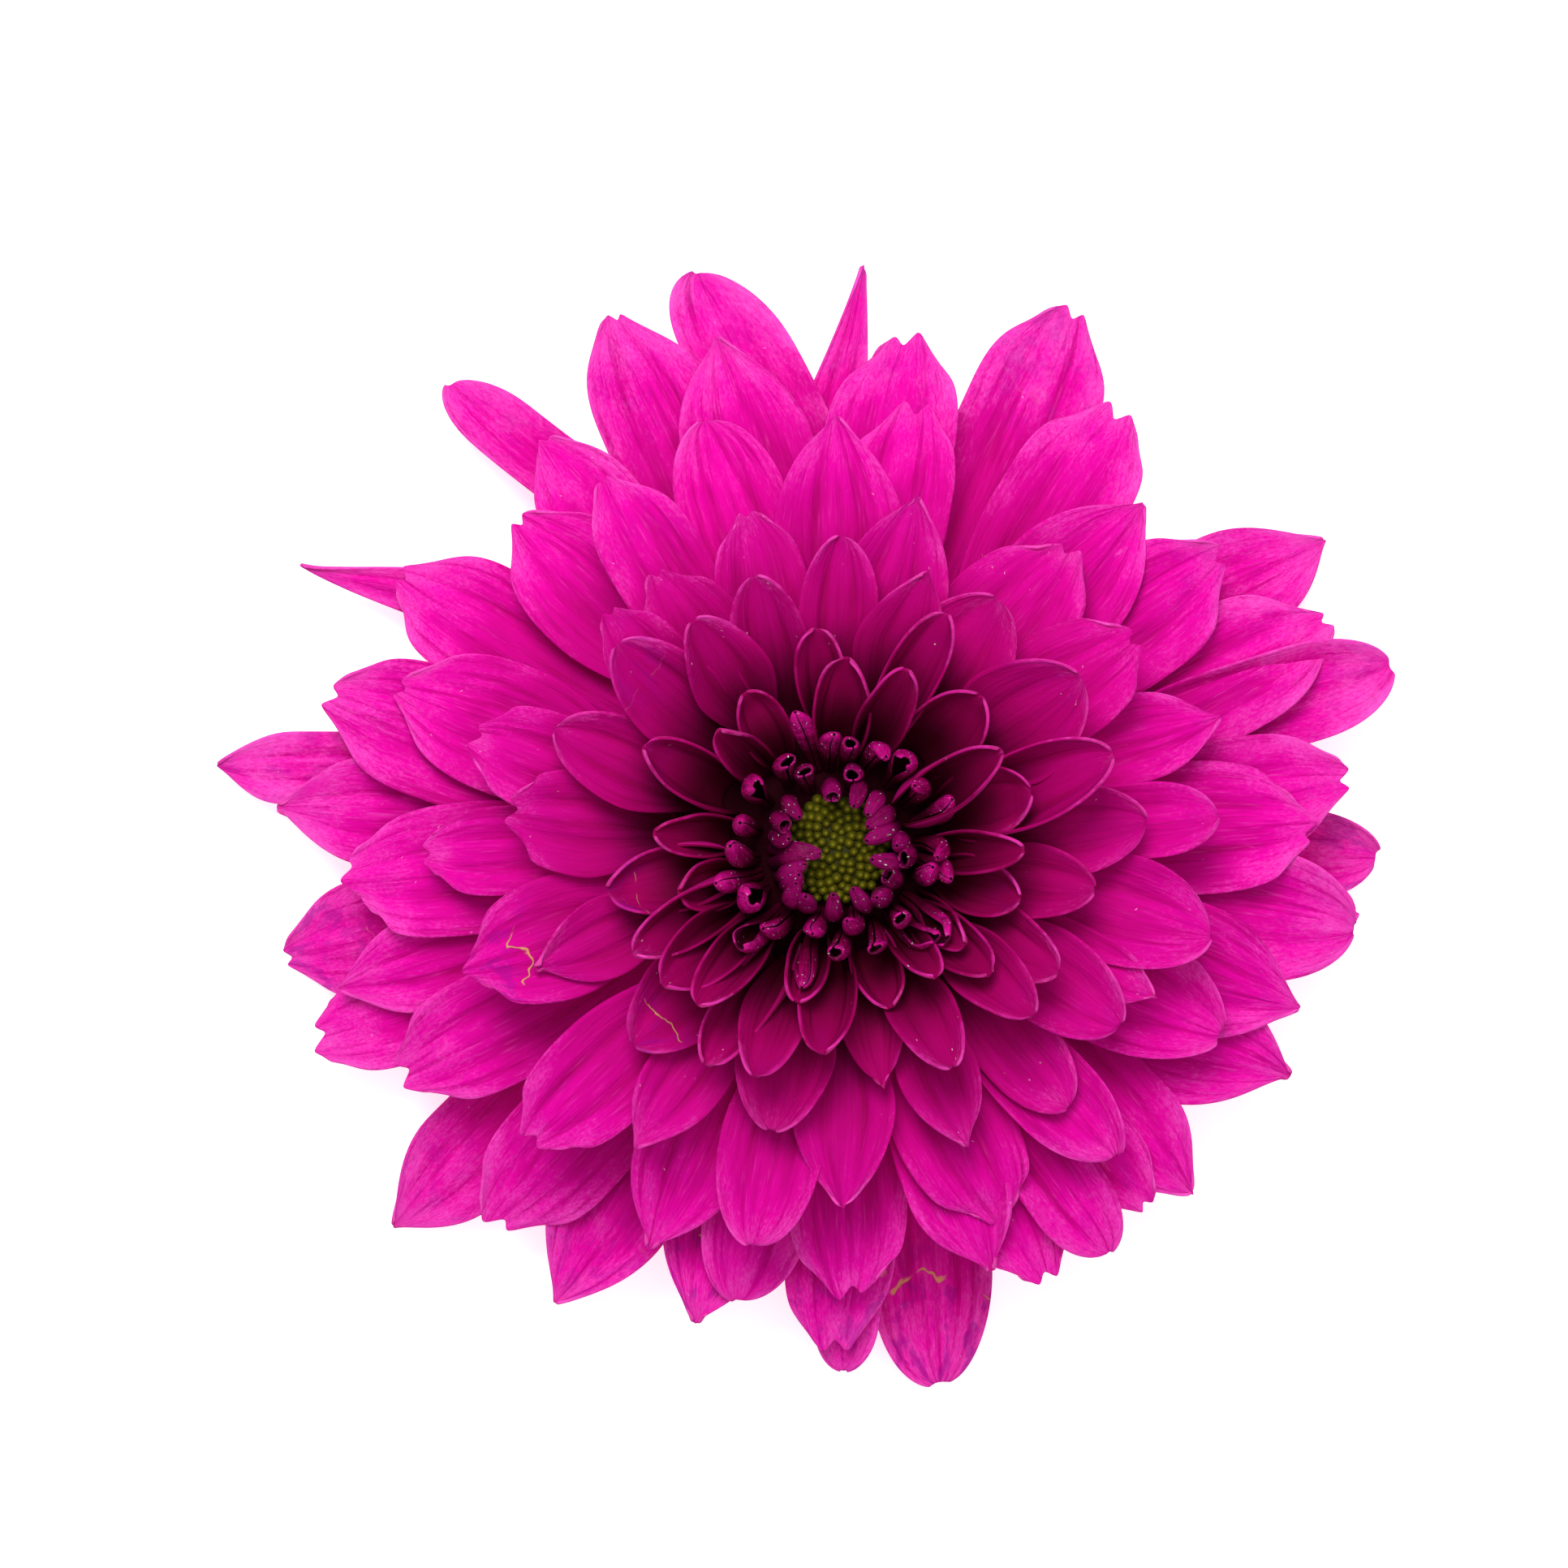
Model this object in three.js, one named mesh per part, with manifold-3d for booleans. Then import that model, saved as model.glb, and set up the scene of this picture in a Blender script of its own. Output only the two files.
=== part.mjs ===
// A cut chrysanthemum head of the decorative type, with its stalk cut short, resting face up.
// From the table up: a stalk stub, two whorls of green bracts, a domed receptacle, 120 ray florets
// that overlap like roof tiles, two rings of young quilled florets, and a green eye of buds.
// Millimetres, +Z up. The florets are laid out round the stalk's axis, with z = 0 in the plane of the
// receptacle's rim, and the whole head is moved at the end so that its box stands on the origin.
import * as THREE from "three";
import { mergeVertices } from "three/addons/utils/BufferGeometryUtils.js";
import Module from "manifold-3d";

const wasm = await Module();
wasm.setup();

// ---- Driving dimensions -------------------------------------------------------------------------
const GAP = 0.22; // between two pieces that touch on the real flower
const HEAD_RADIUS = 43; // reach of the longest ray floret from the stalk's axis
const WIDEST_BLADE = 9; // width of the widest ray floret
const RECEPTACLE_RADIUS = 12;
const UNDERSIDE_DEPTH = 4.6; // receptacle below its rim
const EYE_RADIUS = 3.5;
const STALK_RADIUS = 2.2;
const STUB_LENGTH = 6.8; // stalk left on the head; the lowest florets hang down just as far

// ---- Ray florets --------------------------------------------------------------------------------
const RAY_THICKNESS = 0.45;
const CLAW_WIDTH = 1.1; // the narrow foot of a ray floret
const LOWEST_RISE = -3; // degrees above the horizon at which the lowest rays leave the receptacle
const DOME_BEND = 11; // how strongly the middle whorls bend outwards and down
const FULL_WIDTH_FROM = 0.6; // share of its length at which a blade has reached its full width
const NARROWS_FROM = 0.7; // share of its length at which it narrows again
const NARROWS_TO = 1.04; // share of its length at which it would have narrowed to its end width
const NARROWING_POWER = 1.4; // how long it stays broad before its tip
const FULL_THICKNESS_FROM = 0.34; // share of its length at which it is as thick as it gets
const FULL_CUP_FROM = 0.5; // share of its length at which its edges are turned up fully
const CROSSING_CHECKS = 12; // places along two blades at which their widths are compared
const OUTER_STATIONS = [0, 0.2, 0.42, 0.62, 0.8, 0.92, 1]; // where a blade is shaped, as shares
const INNER_STATIONS = [0, 0.42, 0.8, 1];
const COLUMNS = 2; // faces across a blade
const COLLAR_THICKNESS = 0.5; // band that joins the feet of one inner whorl

// Tip shapes: share of the width left at the very end, how far the middle of the end lies behind its
// corners in millimetres (less than zero: in front), and how much of the room above a blade its
// turned-up edges take.
const TIPS = {
  notched: { end: 0.5, notch: 1.3, cup: 0.45 },
  round: { end: 0.5, notch: -0.7, cup: 0.6 },
  pointed: { end: 0.16, notch: -0.6, cup: 0.6 },
  curled: { end: 0.4, notch: 0.4, cup: 0.7 },
  folded: { end: 0.25, notch: -0.4, cup: 1 },
  spoon: { end: 0.5, notch: -0.5, cup: 1 },
};

// Azimuth in degrees from +X, reach of the tip from the axis and width of the blade in millimetres,
// and the shape of the tip. A later floret lies on top of the earlier ones that it crosses.
const SEPARATE_RAYS = [
  [172, 43, 5, "pointed"], [131, 41, 5, "curled"], [152.5, 41, 3, "pointed"], [104, 41, 8, "round"],
  [66.5, 41.5, 9, "notched"], [221, 40.5, 7.5, "pointed"], [32, 40, 7.5, "pointed"],
  [18, 39.5, 6.5, "curled"], [86, 39.5, 3, "pointed"], [113, 39.7, 8.5, "notched"],
  [191.5, 39, 7.5, "notched"], [200, 39, 8, "notched"], [176, 38.5, 7.5, "pointed"],
  [280, 37.5, 8, "curled"], [25, 38, 9, "notched"], [238.5, 36.5, 8.5, "pointed"],
  [359, 36.5, 6.5, "curled"], [103, 36, 9, "pointed"], [148, 36, 8.5, "notched"],
  [271, 36, 4.5, "round"], [353, 36, 4.5, "round"], [57, 36, 9, "notched"],
  [164, 36, 9, "notched"], [228, 35.5, 8.5, "notched"], [196, 35.5, 6.5, "pointed"],
  [82, 36, 9, "notched"], [7.5, 35.3, 8, "notched"], [351, 35.8, 9, "round"],
  [270, 34.5, 7.5, "notched"], [126, 34.5, 7, "notched"], [184, 34, 9, "notched"],
  [334, 34.5, 8, "pointed"], [208, 34, 8, "notched"], [37, 33.5, 9, "notched"],
  [316.5, 33.8, 7, "pointed"], [253, 33.5, 7.5, "pointed"], [3, 33, 9, "notched"],
  [341, 33.5, 9, "pointed"], [311, 32.5, 6, "notched"], [296, 33, 8, "notched"],
  [304, 33, 5.5, "round"], [160, 32, 9, "notched"], [48, 31.5, 9, "pointed"],
  [258, 31.5, 7, "round"], [134, 31.5, 9, "notched"], [272, 31, 8, "notched"],
  [80, 31, 7.5, "notched"], [290, 30.5, 7, "pointed"],
];
const JOINED_WHORLS = [
  [
    [107, 30, 7.5, "round"], [245, 30, 7.5, "pointed"], [122, 29.5, 6.5, "notched"],
    [90, 29, 9, "notched"], [224, 29, 7.5, "notched"], [181, 28.5, 6, "notched"],
    [334, 28.5, 8.5, "curled"], [294, 28, 8, "notched"], [19, 27.5, 6, "pointed"],
    [312, 27.5, 6, "curled"], [258, 27, 7, "round"], [198, 26.5, 8.5, "notched"],
    [52, 26, 9, "notched"], [163, 26, 7, "notched"], [5, 25.5, 5, "round"],
    [347, 25.5, 7.5, "round"], [35, 25, 8, "notched"],
  ],
  [
    [77, 24, 8, "pointed"], [236, 24, 5.5, "pointed"], [271, 24, 7, "pointed"],
    [105, 23.5, 6.5, "notched"], [335, 23.5, 4, "pointed"], [312, 23, 5.5, "round"],
    [174, 22.5, 7.5, "notched"], [123, 22, 6.5, "notched"], [134, 22, 5.5, "notched"],
    [328, 22, 6.5, "round"], [294, 21.5, 5.5, "pointed"], [202, 21.5, 5.5, "pointed"],
  ],
  [
    [5, 20.5, 5.5, "round"], [89, 20.5, 4.5, "round"], [157, 20, 5, "round"],
    [57, 19.5, 7, "round"], [137, 19.5, 5.5, "round"], [35, 19.5, 7.5, "round"],
    [72, 19, 6, "pointed"], [257, 19, 6, "round"], [19, 19, 4.5, "folded"],
    [107, 18.5, 4.5, "round"], [224, 18.5, 5.5, "round"], [122, 17.5, 5, "round"],
    [351, 17, 4.5, "round"], [65, 17, 3, "folded"],
  ],
  [
    [331, 16.5, 4, "round"], [320, 16.5, 4, "round"], [239, 16.5, 3, "folded"],
    [281, 16, 4, "pointed"], [298, 16, 4, "round"], [190, 15.5, 4, "folded"],
    [250, 15.5, 4, "round"], [207, 15, 3, "folded"], [95, 14.5, 3, "spoon"],
    [152, 14.5, 3, "folded"], [218, 14.5, 4, "spoon"], [47, 14, 4.5, "spoon"],
  ],
  [
    [16, 13.5, 4.5, "spoon"], [228, 13.5, 3, "spoon"], [266, 13.5, 3.5, "spoon"],
    [321, 13, 3, "spoon"], [31, 12.5, 3, "folded"], [87, 12.5, 3.5, "spoon"],
    [69, 12.5, 3, "spoon"], [345, 12.5, 3.5, "spoon"], [175, 12, 2.5, "folded"],
    [0, 12, 2.5, "folded"], [121, 12, 3, "spoon"], [289, 11, 3, "spoon"],
    [195, 11, 3, "spoon"], [135, 11, 2.5, "folded"], [323, 10.5, 2.2, "spoon"],
    [255, 10.5, 2.5, "spoon"], [308, 10.5, 2.2, "spoon"],
  ],
];

// ---- Quilled florets ------------------------------------------------------------------------------
// Azimuth, and how far the tip leans in, from 0 (out as far as there is room) to 1 (over the middle).
const QUILL_RADIUS = 0.62; // at the hooded tip
const QUILL_FOOT_RADIUS = 0.34;
const QUILL_SIDES = 5;
const QUILL_STATIONS = [0, 0.5, 0.86, 1]; // where a quill is shaped, as shares of its length
const QUILL_GIRTHS = [QUILL_FOOT_RADIUS, 0.8 * QUILL_RADIUS, QUILL_RADIUS, 0.45 * QUILL_RADIUS];
const OUTER_QUILL_LENGTH = 6.6;
const INNER_QUILL_LENGTH = 4.6;
const OUTER_QUILLS = [
  [4, 0.05], [20, 0], [36, 0.05], [53, 0], [71, 0.1], [89, 0.05], [107, 0], [125, 0.1], [146, 0.05],
  [167, 0.15], [187, 0.1], [208, 0.1], [225, 0], [240, 0.1], [257, 0], [275, 0.1], [292, 0.05],
  [309, 0], [326, 0], [346, 0.1],
];
const INNER_QUILLS = [
  [357, 0], [22, 0.25], [47, 0.1], [70, 0.05], [96, 0], [122, 0.2], [147, 0], [178, 0.75],
  [204, 0.15], [228, 0.1], [252, 0], [275, 0.15], [301, 0], [322, 0.05], [340, 0.1],
];

// ---- Eye, bracts and stalk ------------------------------------------------------------------------
const EYE_RISE = 0.9; // height of the eye's dome
const BUDS = 43;
const BUD_RADIUS = 0.4;
const BRACTS = 13; // in each of the two whorls
const BRACT_THICKNESS = 0.45;
const BRACT_CLEARANCE = 0.5; // between the receptacle and its bracts, and between the two whorls
const INNER_BRACT_SPAN = [-62, -20]; // degrees below the rim, as seen from the receptacle's middle
const OUTER_BRACT_SPAN = [-70, -38];
const BRACT_OUTLINE = [1, 0.82, 0.3, 0.82]; // share of the span covered, from one tip to the next
const STALK_FLARE = 0.9; // how much wider the stalk gets where it meets the head
const STALK_RIBS = 7;
const STALK_RIB_HEIGHT = 0.14;
const ROUND_SEGMENTS = 24;
const COLLAR_SEGMENTS = 16;

// ---- Small helpers --------------------------------------------------------------------------------
const radians = THREE.MathUtils.degToRad;
const mix = THREE.MathUtils.lerp;
const smooth = THREE.MathUtils.smoothstep;

// The unit vectors of an azimuth: away from the axis, and across it.
const outward = (azimuth) => new THREE.Vector3(Math.cos(azimuth), Math.sin(azimuth), 0);
const across = (azimuth) => new THREE.Vector3(Math.sin(azimuth), -Math.cos(azimuth), 0);

function bare(geometry) {
  geometry.deleteAttribute("normal");
  geometry.deleteAttribute("uv");
  return mergeVertices(geometry, 1e-4);
}

function asManifold(geometry) {
  const merged = bare(geometry.clone());
  const vertProperties = merged.attributes.position.array;
  const triVerts = new Uint32Array(merged.index.array);
  return new wasm.Manifold(new wasm.Mesh({ numProp: 3, vertProperties, triVerts }));
}

function joined(geometries) {
  const mesh = geometries.map(asManifold).reduce((all, next) => all.add(next)).getMesh();
  const geometry = new THREE.BufferGeometry();
  geometry.setAttribute("position", new THREE.BufferAttribute(mesh.vertProperties, 3));
  geometry.setIndex(new THREE.BufferAttribute(mesh.triVerts, 1));
  return geometry;
}

// A flat slab bent into shape: place(u, s, top) gives the position of a point at u = -1 to 1 across
// the slab and at share s along it, on its upper or its lower side.
function slab(columns, stations, place) {
  const rows = stations.length - 1;
  const geometry = bare(new THREE.BoxGeometry(2, rows, 1, columns, rows, 1));
  const positions = geometry.attributes.position;
  for (let i = 0; i < positions.count; i++) {
    const s = stations[Math.round(positions.getY(i) + rows / 2)];
    const point = place(positions.getX(i), s, positions.getZ(i) > 0);
    positions.setXYZ(i, point.x, point.y, point.z);
  }
  return geometry;
}

// A solid of revolution about +Z from [radius, height] pairs that start and end on the axis or close
// on themselves. LatheGeometry turns about +Y, so the solid is stood up afterwards.
function turned(profile, segments = ROUND_SEGMENTS) {
  const points = profile.map(([radius, height]) => new THREE.Vector2(radius, height));
  return new THREE.LatheGeometry(points, segments).rotateX(Math.PI / 2);
}

// ---- Where everything stands on the receptacle, from the eye outwards -----------------------------
const onReceptacle = (radius) => Math.acos(radius / RECEPTACLE_RADIUS); // rise of that spot
const eyeSeat = EYE_RADIUS + BUD_RADIUS / 2;
const innerQuillSeat = eyeSeat + GAP + QUILL_FOOT_RADIUS;
const outerQuillSeat = innerQuillSeat + 2 * QUILL_FOOT_RADIUS + 2 * GAP;
const highestRise = onReceptacle(outerQuillSeat + QUILL_FOOT_RADIUS + 2 * GAP);
const eyeHeight = RECEPTACLE_RADIUS * Math.sin(onReceptacle(eyeSeat));
const floor = -UNDERSIDE_DEPTH - GAP - STUB_LENGTH;

const whorls = [SEPARATE_RAYS, ...JOINED_WHORLS].map((whorl) =>
  whorl.map(([azimuth, reach, width, tip]) => ({
    azimuth: radians(azimuth),
    reach: (reach * HEAD_RADIUS) / SEPARATE_RAYS[0][1],
    width: (width * WIDEST_BLADE) / Math.max(...SEPARATE_RAYS.map((row) => row[2])),
    ...TIPS[tip],
  })),
);
const rays = whorls.flat();

function bladeWidth(ray, s) {
  const spread = mix(CLAW_WIDTH, ray.width, smooth(s, 0, FULL_WIDTH_FROM));
  return spread * mix(1, ray.end, smooth(s, NARROWS_FROM, NARROWS_TO) ** NARROWING_POWER);
}

// Whether two blades on the same level would run into each other.
function cross(one, other) {
  const turn = Math.abs(one.azimuth - other.azimuth) % (2 * Math.PI);
  const apart = Math.min(turn, 2 * Math.PI - turn);
  const near = Math.max(one.foot, other.foot);
  const far = Math.min(one.reach, other.reach);
  for (let i = 0; i <= CROSSING_CHECKS; i++) {
    const radius = mix(near, far, i / CROSSING_CHECKS);
    const widths = [one, other].map((ray) =>
      bladeWidth(ray, (radius - ray.foot) / (ray.reach - ray.foot)),
    );
    if (Math.sin(apart / 2) * 2 * radius < (widths[0] + widths[1]) / 2 + 2 * GAP) return true;
  }
  return false;
}

// Each floret lies one level above the highest floret that it crosses, and each joined whorl starts
// on a level of its own, so that its collar is clear of the others.
let levels = 0;
rays.forEach((ray, i) => {
  const rise = mix(radians(LOWEST_RISE), highestRise, i / rays.length);
  ray.foot = RECEPTACLE_RADIUS * Math.cos(rise);
});
whorls.forEach((whorl) => {
  const first = levels;
  whorl.forEach((ray, i) => {
    const under = whorl.slice(0, i).filter((other) => cross(ray, other));
    ray.level = Math.max(first, ...under.map((other) => other.level + 1));
    levels = Math.max(levels, ray.level + 1);
  });
});

const riseStep = (highestRise - radians(LOWEST_RISE)) / (levels - 1);
const rise = (level) => radians(LOWEST_RISE) + level * riseStep;
const footPitch = RECEPTACLE_RADIUS * riseStep;
const clawThickness = footPitch - GAP;

// A level is a cone through the middle of the receptacle that bends down as it goes out. The lowest
// one bends down to the table at the longest floret's tip, those in the middle bend most, which makes
// the head a dome, and the highest one is straight.
const lowestDrop = HEAD_RADIUS * Math.tan(rise(0)) - floor;
const lowestArch = lowestDrop / (HEAD_RADIUS - RECEPTACLE_RADIUS) ** 2;
const wholeRise = highestRise - radians(LOWEST_RISE);
const domeArch = (DOME_BEND * RECEPTACLE_RADIUS * wholeRise) / (HEAD_RADIUS - RECEPTACLE_RADIUS) ** 2;

function arch(level) {
  const share = level / (levels - 1);
  return (1 - share) * (lowestArch + domeArch * share * share);
}

function onLevel(level, radius) {
  const out = radius - RECEPTACLE_RADIUS * Math.cos(rise(level));
  const height = radius * Math.tan(rise(level)) - arch(level) * out * out;
  const slope = Math.tan(rise(level)) - 2 * arch(level) * out;
  return { height, slope };
}

function rayFloret(ray, stations, footDepth) {
  const start = (RECEPTACLE_RADIUS + footDepth) * Math.cos(rise(ray.level));
  const place = (u, s, top) => {
    const behind = Math.max(0, ray.notch) * (1 - Math.abs(u)) + Math.max(0, -ray.notch) * Math.abs(u);
    const along = mix(start, ray.reach, s) - (s === 1 ? behind : 0);
    const side = (u * bladeWidth(ray, s)) / 2;
    const radius = Math.hypot(along, side);
    const { height, slope } = onLevel(ray.level, radius);
    const above = (onLevel(ray.level + 1, radius).height - height) * Math.cos(Math.atan(slope));
    const thickness = mix(clawThickness, RAY_THICKNESS, smooth(s, 0, FULL_THICKNESS_FROM));
    const room = above - thickness - GAP;
    const lift = ray.cup * room * u * u * smooth(s, 0, FULL_CUP_FROM) + (top ? thickness : 0);
    const flat = outward(ray.azimuth).multiplyScalar(along);
    const point = flat.addScaledVector(across(ray.azimuth), side);
    const away = point.clone().divideScalar(radius);
    const steep = Math.hypot(1, slope);
    point.z = height + lift / steep;
    return point.addScaledVector(away, (-slope * lift) / steep);
  };
  return slab(COLUMNS, stations, place);
}

// The lowest florets have nothing under them: each is bent on until its tip rests on the table.
function restOnTable(geometry, ray) {
  const positions = geometry.attributes.position;
  geometry.computeBoundingBox();
  const spare = geometry.boundingBox.min.z - floor;
  for (let i = 0; i < positions.count; i++) {
    const radius = Math.hypot(positions.getX(i), positions.getY(i));
    const share = smooth(radius, ray.foot, ray.reach);
    positions.setZ(i, Math.max(floor, positions.getZ(i) - spare * share));
  }
  geometry.computeBoundingBox();
  return geometry;
}

// The band round the receptacle that holds the feet of one joined whorl.
function collar(first, last) {
  const inside = RECEPTACLE_RADIUS + GAP;
  const outside = inside + COLLAR_THICKNESS;
  const end = rise(last) + riseStep - GAP / RECEPTACLE_RADIUS;
  const steps = 1 + last - first;
  const profile = [];
  for (let i = 0; i <= steps; i++) {
    const angle = mix(rise(first), end, i / steps);
    profile.push([inside * Math.cos(angle), inside * Math.sin(angle)]);
  }
  for (let i = steps; i >= 0; i--) {
    const angle = mix(rise(first), end, i / steps);
    profile.push([outside * Math.cos(angle), outside * Math.sin(angle)]);
  }
  profile.push(profile[0]);
  return turned(profile.reverse(), COLLAR_SEGMENTS);
}

// ---- Quilled florets ------------------------------------------------------------------------------
// A young floret still rolled into a tube, widening to a hooded tip. Its middle line bends from its
// foot on the receptacle to its tip, both given by their distance and rise from the middle.
function quill(azimuth, seat, length, tipRise) {
  const at = (distance, angle) =>
    outward(azimuth).multiplyScalar(distance * Math.cos(angle)).setZ(distance * Math.sin(angle));
  const footRise = onReceptacle(seat);
  const foot = RECEPTACLE_RADIUS + GAP;
  const line = new THREE.QuadraticBezierCurve3(
    at(foot, footRise),
    at(foot + length / 2, footRise),
    at(foot + length, tipRise),
  );
  const rows = QUILL_STATIONS.length - 1;
  const geometry = bare(new THREE.CylinderGeometry(1, 1, rows, QUILL_SIDES, rows));
  const positions = geometry.attributes.position;
  for (let i = 0; i < positions.count; i++) {
    const row = Math.round(positions.getY(i) + rows / 2);
    const middle = line.getPoint(QUILL_STATIONS[row]);
    const along = line.getTangent(QUILL_STATIONS[row]);
    const side = across(azimuth);
    const up = side.clone().cross(along);
    middle.addScaledVector(side, positions.getX(i) * QUILL_GIRTHS[row]);
    middle.addScaledVector(up, positions.getZ(i) * QUILL_GIRTHS[row]);
    positions.setXYZ(i, middle.x, middle.y, middle.z);
  }
  return geometry;
}

function quillRing(rows, seat, length, leastRise) {
  const quills = rows.map(([azimuth, lean]) =>
    quill(radians(azimuth), seat, length, Math.acos(mix(Math.cos(leastRise), 0, lean))),
  );
  const half = QUILL_FOOT_RADIUS / RECEPTACLE_RADIUS;
  const inside = RECEPTACLE_RADIUS + GAP;
  const outside = inside + COLLAR_THICKNESS;
  const middle = onReceptacle(seat);
  const corners = [[inside, -half], [outside, -half], [outside, half], [inside, half], [inside, -half]];
  const profile = corners.map(([distance, turn]) => [
    distance * Math.cos(middle + turn),
    distance * Math.sin(middle + turn),
  ]);
  return joined([turned(profile, COLLAR_SEGMENTS), ...quills]);
}

// ---- Eye ------------------------------------------------------------------------------------------
function eye() {
  const base = eyeHeight + GAP;
  const top = (radius) => base + BUD_RADIUS + EYE_RISE * (1 - (radius / EYE_RADIUS) ** 2);
  const rings = [1, 0.6];
  const profile = [[0, base], [EYE_RADIUS, base]];
  rings.forEach((share) => profile.push([share * EYE_RADIUS, top(share * EYE_RADIUS)]));
  profile.push([0, top(0)]);
  const goldenAngle = Math.PI * (3 - Math.sqrt(5));
  const buds = Array.from({ length: BUDS }, (_, i) => {
    const radius = (EYE_RADIUS - BUD_RADIUS / 2) * Math.sqrt((i + 0.5) / BUDS);
    const spot = outward(i * goldenAngle).multiplyScalar(radius);
    const bud = new THREE.OctahedronGeometry(BUD_RADIUS).scale(1, 1, 1.3).rotateZ(i * goldenAngle);
    return bud.translate(spot.x, spot.y, top(radius));
  });
  return joined([turned(profile, COLLAR_SEGMENTS), ...buds]);
}

// ---- Receptacle, bracts and stalk -----------------------------------------------------------------
// A point on the receptacle's underside, an ellipse in section, moved out along its normal.
function onUnderside(angle, offset) {
  const normal = new THREE.Vector2(
    Math.cos(angle) / RECEPTACLE_RADIUS,
    Math.sin(angle) / UNDERSIDE_DEPTH,
  ).normalize();
  return [
    RECEPTACLE_RADIUS * Math.cos(angle) + normal.x * offset,
    UNDERSIDE_DEPTH * Math.sin(angle) + normal.y * offset,
  ];
}

function receptacle() {
  const profile = [[0, -UNDERSIDE_DEPTH]];
  for (let angle = -75; angle < 0; angle += 15) profile.push(onUnderside(radians(angle), 0));
  const steps = 6;
  for (let i = 0; i <= steps; i++) {
    const angle = mix(0, onReceptacle(eyeSeat), i / steps);
    profile.push([RECEPTACLE_RADIUS * Math.cos(angle), RECEPTACLE_RADIUS * Math.sin(angle)]);
  }
  profile.push([0, eyeHeight]);
  return turned(profile);
}

// A whorl of bracts that are joined at their bases: a band round the underside whose upper edge runs
// up into a pointed lobe for each bract. The band is turned with its share of the span for a radius
// and its side for a height, and then bent onto the underside.
function bractWhorl(span, offset, firstAzimuth) {
  const shares = [0, 0.5, 1];
  const inner = shares.map((share) => [1 + share, 1]);
  const outer = shares.map((share) => [1 + share, 0]).reverse();
  const outline = BRACT_OUTLINE.length;
  const edge = [...inner, ...outer, inner[0]].reverse();
  const geometry = bare(turned(edge, BRACTS * outline));
  const positions = geometry.attributes.position;
  const point = new THREE.Vector3();
  for (let i = 0; i < positions.count; i++) {
    point.fromBufferAttribute(positions, i);
    const turn = Math.atan2(point.y, point.x);
    const column = Math.round((turn / (2 * Math.PI)) * BRACTS * outline);
    const reach = BRACT_OUTLINE[((column % outline) + outline) % outline];
    const share = (Math.hypot(point.x, point.y) - 1) * reach;
    const angle = radians(mix(span[0], span[1], share));
    const [radius, height] = onUnderside(angle, offset + (point.z > 0.5 ? 0 : BRACT_THICKNESS));
    point.copy(outward(firstAzimuth + turn)).multiplyScalar(radius).setZ(height);
    positions.setXYZ(i, point.x, point.y, point.z);
  }
  return geometry;
}

function stalk() {
  const top = -UNDERSIDE_DEPTH - GAP;
  const rows = 3;
  const sides = STALK_RIBS * 4;
  const geometry = bare(new THREE.CylinderGeometry(1, 1, rows, sides, rows)).rotateX(Math.PI / 2);
  const positions = geometry.attributes.position;
  for (let i = 0; i < positions.count; i++) {
    const share = positions.getZ(i) / rows + 0.5;
    const [x, y] = [positions.getX(i), positions.getY(i)];
    const rib = STALK_RIB_HEIGHT * Math.cos(STALK_RIBS * Math.atan2(y, x));
    const radius = STALK_RADIUS + STALK_FLARE * share ** 4 + rib;
    positions.setXYZ(i, x * radius, y * radius, mix(floor, top, share));
  }
  return geometry;
}

// ---- The head -------------------------------------------------------------------------------------
const group = new THREE.Group();

function add(name, geometry, color, roughness) {
  const material = new THREE.MeshStandardMaterial({ color, roughness, metalness: 0 });
  geometry.computeVertexNormals();
  const mesh = new THREE.Mesh(geometry, material);
  mesh.name = name;
  group.add(mesh);
}

const twoDigits = (number) => String(number).padStart(2, "0");
const outerBractOffset = 2 * BRACT_CLEARANCE + BRACT_THICKNESS;
const halfBract = Math.PI / BRACTS;
add("stalk", stalk(), 0x6f8f4a, 0.6);
add("bracts_outer", bractWhorl(OUTER_BRACT_SPAN, outerBractOffset, 0), 0x5d7f3c, 0.7);
add("bracts_inner", bractWhorl(INNER_BRACT_SPAN, BRACT_CLEARANCE, halfBract), 0x6c8c46, 0.7);
add("receptacle", receptacle(), 0x8fa565, 0.7);

whorls[0].forEach((ray, i) => {
  const floret = rayFloret(ray, OUTER_STATIONS, GAP);
  const shaped = ray.level === 0 ? restOnTable(floret, ray) : floret;
  add(`ray_floret_${twoDigits(i + 1)}`, shaped, 0xe31a98, 0.55);
});
whorls.slice(1).forEach((whorl, i) => {
  const steps = whorl.map((ray) => ray.level);
  const band = collar(Math.min(...steps), Math.max(...steps));
  const florets = whorl.map((ray) => rayFloret(ray, INNER_STATIONS, GAP + COLLAR_THICKNESS / 2));
  add(`ray_whorl_${i + 1}`, joined([band, ...florets]), 0xc4127f, 0.55);
});

const lastRoom = (QUILL_RADIUS + 2 * GAP + RAY_THICKNESS) / RECEPTACLE_RADIUS;
const outerQuillRise = highestRise + lastRoom;
const innerQuillRise = outerQuillRise + (2 * QUILL_RADIUS + GAP) / RECEPTACLE_RADIUS;
add(
  "quilled_florets_outer",
  quillRing(OUTER_QUILLS, outerQuillSeat, OUTER_QUILL_LENGTH, outerQuillRise),
  0xb3106f,
  0.55,
);
add(
  "quilled_florets_inner",
  quillRing(INNER_QUILLS, innerQuillSeat, INNER_QUILL_LENGTH, innerQuillRise),
  0xc93f95,
  0.55,
);
add("disc_eye", eye(), 0x6d6a12, 0.75);

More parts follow.
